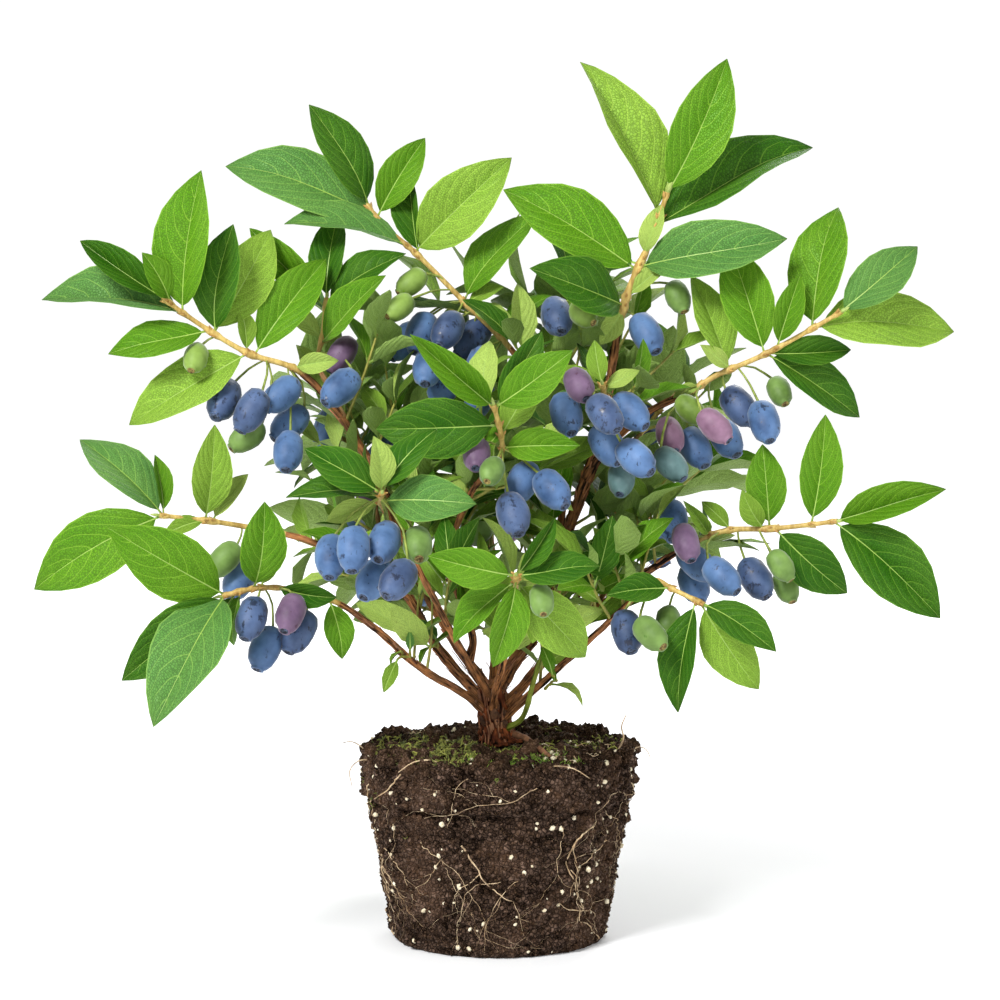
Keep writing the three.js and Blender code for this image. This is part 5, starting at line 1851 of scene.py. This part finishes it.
scale_piece = hung("node_scales", bud_shape, scale_rows, 0.3, scale_skin)
stub_piece = hung("stubs", bud_shape, stub_rows, 1.4, stub_skin)
bud_piece = hung("buds", bud_shape, bud_rows, 0.4, bud_skin)

# %% [markdown]
# ## The root ball
# The plug of soil kept the shape of its pot, down to the band of the pot's rim. It is mesh work: a turned
# profile whose rings are pushed in and out by noise of several sizes, so lumps, crumbs and hollows are
# really there. A displacement modifier would do the same, but it needs a texture for every size of lump.
# The pot's rim also pressed a crease into the soil just under its band.

# %% The soil's shape
def soil_height(x, y):
    """The smooth top, with its one low mound."""
    away = ((x - LUMP["x"]) ** 2 + (y - LUMP["y"]) ** 2) / (2 * LUMP["spread"] ** 2)
    return BALL["height"] + LUMP["rise"] * math.exp(-away)


SHOULDER = BALL["height"] - BALL["band"]
SIDE_LINE = (
    (BALL["foot"] - BALL["edge"], 0), (BALL["foot"], BALL["edge"]),
    (BALL["rim"] - BALL["step"], SHOULDER - BALL["edge"]), (BALL["rim"], SHOULDER),
    (BALL["rim"], BALL["height"] - BALL["edge"]), (BALL["rim"] - BALL["edge"], BALL["height"]),
)


def side_radius(z):
    """The plug's radius at a height."""
    radii, heights = zip(*SIDE_LINE)
    return float(np.interp(z, heights, radii))


def soil_relief(x, y, z):
    """How far the soil stands out, in mm: broad lumps, crumbs and pits."""
    broad = noise.fractal(Vector((x, y, z)) * 0.09, 1.0, 2.0, 3)
    lump = noise.voronoi(Vector((x, y, z * 1.2)) * 0.2)[0][0]
    crumb = noise.voronoi(Vector((x, y, z + 50)) * 0.5)[0][0]
    fine = noise.noise(Vector((x, y, z)) * 1.1)
    return 1.2 * broad - 2.9 * lump ** 1.4 - 1.6 * crumb + 0.5 * fine + 1.35


CREASE = {"depth": 2.3, "below": 2.4, "width": 1.4}


def rim_crease(x, y, z):
    """How deep the pot's rim pressed a crease under its band, in mm. It comes and goes round the plug."""
    share = min(max(0.55 + 1.5 * noise.noise(Vector((x, y, 90)) * 0.045), 0), 1)
    away = (z - SHOULDER + CREASE["below"]) / CREASE["width"]
    return CREASE["depth"] * share * math.exp(-(away ** 2))


AROUND = 416
SIDE_STEP, TOP_STEP, INNER_STEP = 0.9, 0.95, 1.5
HALF_INSIDE, QUARTER_INSIDE = 34, 15


def soil_rows():
    """Rings from the middle of the underside, up the side, and in over the top.

    A row says the radius, the height, the number of points, and how far the relief shows.
    """
    rows = [(12, 0, AROUND // 4, 0.0), (26, 0, AROUND // 4, 0.0), (38, 0, AROUND // 2, 0.0)]
    for (r1, z1), (r2, z2) in zip(SIDE_LINE[:-1], SIDE_LINE[1:]):
        steps = max(1, round(math.hypot(r2 - r1, z2 - z1) / SIDE_STEP))
        for k in range(steps):
            r, z = between(r1, r2, k / steps), between(z1, z2, k / steps)
            rows.append((r, z, AROUND, 1.0 if z > 1 else 0.35))
    r = BALL["rim"] - BALL["edge"]
    while r > 2:
        fewer = 1 if r > HALF_INSIDE else 2 if r > QUARTER_INSIDE else 4
        rows.append((r, None, AROUND // fewer, 0.0))
        r -= TOP_STEP if r > QUARTER_INSIDE else INNER_STEP
    return rows


def soil_point(r, z, angle, outwardness):
    """One point of the rough surface. No height means that it lies on the top."""
    x, y = r * math.cos(angle), r * math.sin(angle)
    if z is None:
        height = soil_height(x, y)
        rounded = 0.8 * max(0, (r - 50) / 9)
        rough = soil_relief(x, y, height) * 1.25
        ripple = 1.3 * noise.noise(Vector((x, y, 7)) * 0.11)
        return x, y, height + rough + ripple - rounded
    out = soil_relief(x, y, z) * outwardness - rim_crease(x, y, z)
    x, y = (r + out) * math.cos(angle), (r + out) * math.sin(angle)
    lift = max(0.0, 0.25 * noise.noise(Vector((x, y, 3)) * 0.5)) if z == 0 else 0.0
    return x, y, z + lift


def bridge(a, many, b, other):
    """Faces between two rings, from their first points. One may have twice the points of the other."""
    if many == other:
        return [(a + k, a + (k + 1) % many, b + (k + 1) % many, b + k) for k in range(many)]
    faces = []
    for k in range(min(many, other)):
        if many < other:
            near, far = a + k, a + (k + 1) % many
            c, d = b + 2 * k, b + (2 * k + 2) % other
            faces += [(near, c + 1, c), (near, far, c + 1), (far, d, c + 1)]
        else:
            near, far = b + k, b + (k + 1) % other
            c, d = a + 2 * k, a + (2 * k + 2) % many
            faces += [(c, c + 1, near), (c + 1, far, near), (c + 1, d, far)]
    return faces


points, faces, rings = [(0, 0, 0)], [], []
for r, z, count, outwardness in soil_rows():
    rings.append((len(points), count))
    points += [soil_point(r, z, 2 * math.pi * k / count, outwardness) for k in range(count)]
points.append((0, 0, soil_height(0, 0) - 1))
first, count = rings[0]
faces += [(0, first + (k + 1) % count, first + k) for k in range(count)]
for lower, upper in zip(rings[:-1], rings[1:]):
    faces += bridge(*lower, *upper)
last, count = rings[-1]
faces += [(last + k, last + (k + 1) % count, len(points) - 1) for k in range(count)]
print("the plug is laid out in", len(rings), "rings")


# %% Soil material and piece
FLECK_TINT = (150, 118, 84)


def soil_material(name, deep, light, grain, relief):
    """Crumbs in two tints, with painted shade in their cracks, broad pale patches and a few flecks."""
    made, tree, shader = new_material(name, 0.95)
    parts = use(tree, crumbs, Place=place_of(tree), Grain=grain)
    # Moist soil glints on its lumps and not in its cracks
    rough = remap(tree, parts["Tone"], 0.05, 0.8, 0.95, 0.6)
    glint = remap(tree, parts["Tone"], 0.05, 0.8, 0.02, 0.42)
    # The darkest part of the tone, in the cracks, is painted shade
    color = blend_of(tree, parts["Tone"], rgb(deep), rgb(light))
    patch = remap(tree, noise_of(tree, place_of(tree), 38, 4), 0.5, 0.7, 0.0, 0.28)
    color = blend_of(tree, patch, color, rgb(light, 1.15))
    color = blend_of(tree, times(tree, parts["Speck"], 0.5), color, rgb(FLECK_TINT))
    fill(tree, shader.inputs, {"Base Color": color, "Roughness": rough, "Specular IOR Level": glint})
    bump(tree, shader, parts["Height"], 0.9, relief)
    return made


soil_look = soil_material("soil", (7, 4, 2), (124, 96, 78), 1.0, 2.4)
ball_mesh = mesh_of("soil_plug", points, faces, unit=MM)
ball_mesh.materials.append(soil_look)
ball_mesh.shade_smooth()
soil_piece = scene_object("soil_plug", ball_mesh)
print("the soil plug has", len(faces), "faces")

# %% [markdown]
# ## Crumbs, white grit and moss
# Loose crumbs lie on the plug, white grit of the potting mix is stuck in it, and moss grows on its top. All
# three are small shapes strewn over a surface, so one scattering tree makes them: it picks random points on
# the soil, keeps those whose slope and place fit, and puts a turned and scaled grain on each.

# %% The tree that strews shapes over a surface
FULL_TURN, RAGGED_SCALE = 6.283, 120.0
strew_tree, given = geometry_tree("strew", [
    ("Grain", "NodeSocketObject"), ("Density", "NodeSocketFloat"), ("Smallest", "NodeSocketFloat"),
    ("Largest", "NodeSocketFloat"), ("Flattest", "NodeSocketFloat"), ("Steepest", "NodeSocketFloat"),
    ("Centre", "NodeSocketVector"), ("Reach", "NodeSocketFloat"), ("Tumble", "NodeSocketFloat"),
    ("Seed", "NodeSocketInt"), ("Material", "NodeSocketMaterial")])


def compared(first, operation, second):
    """Whether one number is over or under another."""
    pair = {"A": first, "B": second}
    return put(strew_tree, "FunctionNodeCompare", pair, data_type="FLOAT", operation=operation).outputs[0]


def both(first, second):
    """Whether both are true."""
    return put(strew_tree, "FunctionNodeBooleanMath", {0: first, 1: second}, operation="AND").outputs[0]


def random_between(low, high, kind):
    """A random number or vector for each grain, between two that are given."""
    node = put(strew_tree, "FunctionNodeRandomValue", {"Seed": given["Seed"]}, data_type=kind)
    ends = {label: live(node.inputs, label) for label in ("Min", "Max")}
    fill(strew_tree, ends, {"Min": low, "Max": high})
    return live(node.outputs, "Value")


normal = put(strew_tree, "GeometryNodeInputNormal").outputs[0]
slope = put(strew_tree, "ShaderNodeSeparateXYZ", {0: normal}).outputs[2]
where = put(strew_tree, "GeometryNodeInputPosition").outputs[0]
away = put(strew_tree, "ShaderNodeVectorMath", {0: where, 1: given["Centre"]}, operation="DISTANCE")
ragged = put(strew_tree, "ShaderNodeTexNoise", {"Scale": RAGGED_SCALE, "Detail": 2.0}).outputs["Fac"]
reach = times(strew_tree, given["Reach"], remap(strew_tree, ragged, 0.38, 0.62, 0.2, 1.7))
fits = both(
    compared(slope, "GREATER_EQUAL", given["Steepest"]), compared(slope, "LESS_EQUAL", given["Flattest"]))
fits = both(fits, compared(away.outputs["Value"], "LESS_THAN", reach))
spots = put(strew_tree, "GeometryNodeDistributePointsOnFaces", {
    "Mesh": given["Geometry"], "Selection": fits, "Density": given["Density"], "Seed": given["Seed"]})
most = {0: given["Tumble"], 1: given["Tumble"], 2: FULL_TURN}
most = put(strew_tree, "ShaderNodeCombineXYZ", most).outputs[0]
angles = random_between((0, 0, 0), most, "FLOAT_VECTOR")
lean = put(strew_tree, "FunctionNodeEulerToRotation", {0: angles}).outputs[0]
pose = put(strew_tree, "FunctionNodeRotateRotation", {
    "Rotation": spots.outputs["Rotation"], "Rotate By": lean}, rotation_space="LOCAL").outputs[0]
size = random_between(given["Smallest"], given["Largest"], "FLOAT")
grain = put(strew_tree, "GeometryNodeObjectInfo", {"Object": given["Grain"]}).outputs["Geometry"]
strewn = put(strew_tree, "GeometryNodeInstanceOnPoints", {
    "Points": spots.outputs["Points"], "Instance": grain, "Rotation": pose, "Scale": size}).outputs[0]
finish_tree(strew_tree, strewn, given["Material"])


# Slopes are told by the upward part of the surface's direction, and a patch by its centre and its reach
TOP, SIDE = (0.45, 1.0), (-0.5, 0.45)
EVERYWHERE = ((0, 0, 50), 1000)
OLIVE_PATCH, BRIGHT_PATCH = ((-30, -22, 84), 30), ((8, -37, 84), 17)


def rough_grain(name, seed, squash, detail=1):
    """A lumpy grain, one unit across. It has twenty faces, or more with more detail."""
    shape = bmesh.new()
    bmesh.ops.create_icosphere(shape, subdivisions=detail, radius=0.5)
    for vertex in shape.verts:
        vertex.co *= 1 + 0.55 * noise.noise(vertex.co * 3 + Vector((seed, 0, 0)))
        if detail > 1:
            vertex.co *= 1 + 0.35 * noise.noise(vertex.co * 9 + Vector((seed, 4, 0)))
        vertex.co.z *= squash
    mesh = bpy.data.meshes.new(name)
    shape.to_mesh(mesh)
    shape.free()
    return scene_object(name, mesh)


def tuft(name, blades, seed):
    """A tuft of short moss blades, one unit high."""
    draw = Seeded(seed)
    points, faces = [], []
    for _ in range(blades):
        angle, lean_out, tall = draw.turn(), 0.15 + draw() * 0.5, 0.55 + draw() * 0.45
        x, y = math.cos(angle), math.sin(angle)
        foot = (x * 0.12, y * 0.12)
        a, b, c, tip = range(len(points), len(points) + 4)
        for side, height, out in ((-1, 0, 0), (1, 0, 0), (0, 0, 0.1), (0, 1, lean_out)):
            wide = 0.09 * side
            points.append((foot[0] - y * wide + x * out, foot[1] + x * wide + y * out, height * tall))
        faces += [(a, b, tip), (b, c, tip), (c, a, tip), (a, c, b)]
    return scene_object(name, mesh_of(name, points, faces))


def strewn_piece(name, seed, grain, material, density, sizes, slopes, patch=EVERYWHERE, tumble=math.pi):
    """Strews a grain over the soil: density to the square centimetre, sizes and places in millimetres."""
    mesh = ball_mesh.copy()
    mesh.materials.clear()
    centre, reach = patch
    return grown_piece(name, mesh, strew_tree, {
        "Grain": grain, "Density": density * 10000.0, "Smallest": sizes[0] * MM, "Largest": sizes[1] * MM,
        "Steepest": slopes[0], "Flattest": slopes[1], "Centre": [x * MM for x in centre], "Reach": reach * MM,
        "Tumble": tumble, "Seed": seed, "Material": material})


print("the strewing tree has", len(strew_tree.nodes), "nodes")

# %% Strew them
crumb_look = soil_material("crumb_skin", (10, 6, 3), (112, 84, 64), 1.4, 0.6)
grit_look = speckled("white_grit", (196, 180, 146), (238, 228, 202), 0.85, 900, 3, 0.35, 0.65, 0.5, 0.3)


def moss_material(name, deep, light):
    """Moss and its threads, in two greens."""
    return speckled(name, deep, light, 0.75, 420, 3, 0.35, 0.65)


crumb_grain, grit_grain = rough_grain("crumb_grain", 3, 0.8), rough_grain("grit_grain", 8, 0.62)
clod_grain = rough_grain("clod_grain", 5, 0.75, 3)
olive_tuft, bright_tuft = tuft("olive_tuft", 6, 5), tuft("bright_tuft", 7, 6)
olive_look = moss_material("moss_olive", (44, 54, 16), (124, 130, 48))
bright_look = moss_material("moss_bright", (74, 108, 26), (150, 178, 58))
grain_pieces = [
    strewn_piece("top_crumbs", 1, crumb_grain, crumb_look, 15, (0.9, 3.6), TOP),
    strewn_piece("side_crumbs", 2, crumb_grain, crumb_look, 10, (0.8, 2.4), SIDE),
    strewn_piece("clods", 7, clod_grain, crumb_look, 0.9, (3.5, 10.0), TOP),
    strewn_piece("top_grit", 3, grit_grain, grit_look, 1.0, (1.1, 3.2), TOP),
    strewn_piece("side_grit", 4, grit_grain, grit_look, 0.8, (0.9, 3.1), SIDE),
]
moss_pieces = [
    strewn_piece("olive_moss", 5, olive_tuft, olive_look, 7, (2.0, 4.6), TOP, OLIVE_PATCH, 1.3),
    strewn_piece("bright_moss", 6, bright_tuft, bright_look, 15, (1.6, 3.6), TOP, BRIGHT_PATCH, 1.2),
]

# %% [markdown]
# ## Roots
# Pale roots run down and across the side of the plug, forking and crossing, and a few stick out at the rim.
# Each is a random walk over the soil's surface: it starts near the top, mostly heads down, wavers, and now
# and then sends off a branch. The walks become tubes through the same tree as the shoots. So do the threads
# of the moss and the fine roots on top of the plug, which creep about at random, and one dry stick.

# %% Walk the roots
STEP = 1.6
LOWEST, HIGHEST = 1.5, BALL["height"] - 1
MEANDER, STEADY = 17, 0.97


def root_walk(draw, angle, z, heading, length, radius, paths, depth):
    """One root over the side of the plug. Heading is in degrees, 0 straight down."""
    path, travelled, branch_at = [], 0.0, 6 + draw() * 14
    while travelled < length and LOWEST < z < HIGHEST:
        r = side_radius(z)
        x, y = r * math.cos(angle), r * math.sin(angle)
        out = soil_relief(x, y, z) + radius * 0.4 + 0.35 + 0.5 * noise.noise(Vector((x, y, z)) * 0.15)
        thin = radius * (1 - 0.6 * travelled / length)
        path.append((((r + out) * math.cos(angle), (r + out) * math.sin(angle), z), thin))
        heading = (heading + draw.spread(MEANDER)) * STEADY
        z -= math.cos(math.radians(heading)) * STEP
        angle += math.sin(math.radians(heading)) * STEP / r
        travelled += STEP
        if depth and travelled > branch_at:
            branch_at += 8 + draw() * 16
            turn = heading + (1 if draw() > 0.5 else -1) * (30 + draw() * 35)
            root_walk(draw, angle, z, turn, length * 0.5, thin * 0.7, paths, depth - 1)
    if len(path) > 3:
        paths.append(path)


MAIN_ROOTS, LOW_ROOTS = 42, 7
draw = Seeded(SEED + 41)
root_paths = []
for k in range(MAIN_ROOTS):
    angle = 2 * math.pi * (k + draw()) / MAIN_ROOTS
    thick = 0.16 + draw() ** 3 * 0.3
    root_walk(draw, angle, 22 + draw() * 58, draw.spread(80), 18 + draw() * 50, thick, root_paths, 2)
# These circle the foot of the plug, as roots do in a pot
for k in range(LOW_ROOTS):
    root_walk(draw, draw.turn(), 5 + draw() * 9, 84 + draw.spread(8), 60 + draw() * 50, 0.32, root_paths, 0)

STUMP_FOOT, STRAND_START, STRAND_END = 9, 56, 57


def top_walk(draw, x, y, length, radius, lift):
    """A strand that creeps over the top of the plug, rising and dipping."""
    heading, path = draw.turn(), []
    for k in range(max(4, round(length / STEP))):
        ground = soil_point(math.hypot(x, y), None, math.atan2(y, x), 0.0)[2]
        path.append(((x, y, ground + radius + lift * (0.4 + 0.6 * math.sin(k * 0.9 + x))), radius))
        heading += draw.spread(0.55)
        x, y = x + math.cos(heading) * STEP, y + math.sin(heading) * STEP
        if math.hypot(x, y) > STRAND_END:
            break
    return path


def strands(count, middle, reach, length, radius, lift):
    """Strands strewn about a middle, between the stump and the rim."""
    made = []
    for _ in range(count):
        x, y = middle[0] + draw.spread(reach), middle[1] + draw.spread(reach)
        if STUMP_FOOT < math.hypot(x, y) < STRAND_START:
            made.append(top_walk(draw, x, y, length * (0.5 + draw()), radius * (0.7 + draw() * 0.6), lift))
    return [path for path in made if len(path) > 3]


root_paths += strands(22, (34, -16), 22, 20, 0.28, 0.7) + strands(16, (0, 30), 40, 18, 0.22, 0.6)
moss_paths = strands(330, (-28, -18), 28, 12, 0.3, 1.5) + strands(110, (34, 8), 26, 11, 0.27, 1.2)


def wisp(start, ways, radius):
    """A loose root end that sticks out, through points relative to its start."""
    line = Bend([start] + [start + vec(*way) for way in ways])
    return taper_path(line, radius, radius * 0.4, 8)


root_paths += [
    wisp(vec(-57, -8, 82), [(-3, -1, 3), (-7, -2, 5), (-11, -1, 4)], 0.35),
    wisp(vec(-56, -16, 80), [(-4, -2, 0), (-8, -3, -4), (-7, -4, -11)], 0.35),
    wisp(vec(52, -12, 84), [(2, 0, 5), (1, -1, 10), (3, -1, 15)], 0.5),
    wisp(vec(57, -6, 82), [(4, 0, 2), (7, -1, 1), (9, -2, -3)], 0.3),
    wisp(vec(20, -52, 83), [(6, -3, 1), (12, -5, 0), (18, -4, -4)], 0.4),
    wisp(vec(-24, -50, 84), [(-5, -2, 2), (-12, -2, 1), (-18, -3, -3)], 0.4),
]
stick = Bend([(7, -9, 90), (12, -18, 89.5), (18, -29, 86.5), (23, -36, 84)])
stick_path = [
    (point, radius + 0.15 * math.sin(k * 1.9))
    for k, (point, radius) in enumerate(taper_path(stick, 1.5, 1.0, 14))
]
root_skin = root_material("root_skin", (160, 128, 92), (222, 200, 164))
thread_skin = moss_material("moss_thread", (62, 74, 22), (158, 158, 70))
stick_skin = root_material("stick_skin", (88, 58, 40), (146, 102, 72))
root_piece = tubes("roots", root_paths, 5, root_skin)
strand_piece = tubes("moss_strands", moss_paths, 4, thread_skin)
stick_piece = tubes("dry_stick", [stick_path], 9, stick_skin)

# %% [markdown]
# ## Hand over to the frame
# Every piece rides on one body, and the CAD parts that the pieces stand for are hidden. The whole shrub is
# one body, called root. The templates have done their work and are removed. Last, nothing may reach past the
# CAD model's box, so what stands proud of it is drawn in. Only a few crumbs do, by a hair.

# %% Ride, replace and draw in
templates = (berry_shape, eye_shape, bud_shape, crumb_grain, clod_grain, grit_grain, olive_tuft, bright_tuft)
for shape in templates:
    bpy.data.objects.remove(shape)

LIMBS = ["trunk"] + ["bough_" + stem for stem in BOUGHS]
MASSES = ["foliage_" + stem for stem in BOUGHS]
foliage_pieces = [leaf_piece, small_leaf_piece, shoot_piece, twig_piece, stalk_piece, bud_piece, scale_piece]
foliage_pieces += berry_pieces
soil_pieces = [soil_piece] + grain_pieces
moss_pieces.append(strand_piece)
rest = [wood_piece, shred_piece, stub_piece, root_piece, stick_piece] + moss_pieces

low, high = (np.array(corner) for corner in CAD_BOX)
for piece in foliage_pieces + soil_pieces + rest:
    count = len(piece.data.vertices)
    places = np.zeros(count * 3)
    piece.data.vertices.foreach_get("co", places)
    places = places.reshape(-1, 3)
    inside = np.clip(places, low, high)
    proud = float(np.abs(places - inside).max())
    if proud > 0:
        piece.data.vertices.foreach_set("co", inside.ravel())
        piece.data.update()
        print(piece.name, "was drawn in by", round(proud / MM, 2), "mm")
    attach(piece, "root")

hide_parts(*LIMBS)
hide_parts(*MASSES)
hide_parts("root_ball")

triangles = 0
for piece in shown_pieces():
    triangles += sum(len(face.vertices) - 2 for face in piece.data.polygons)
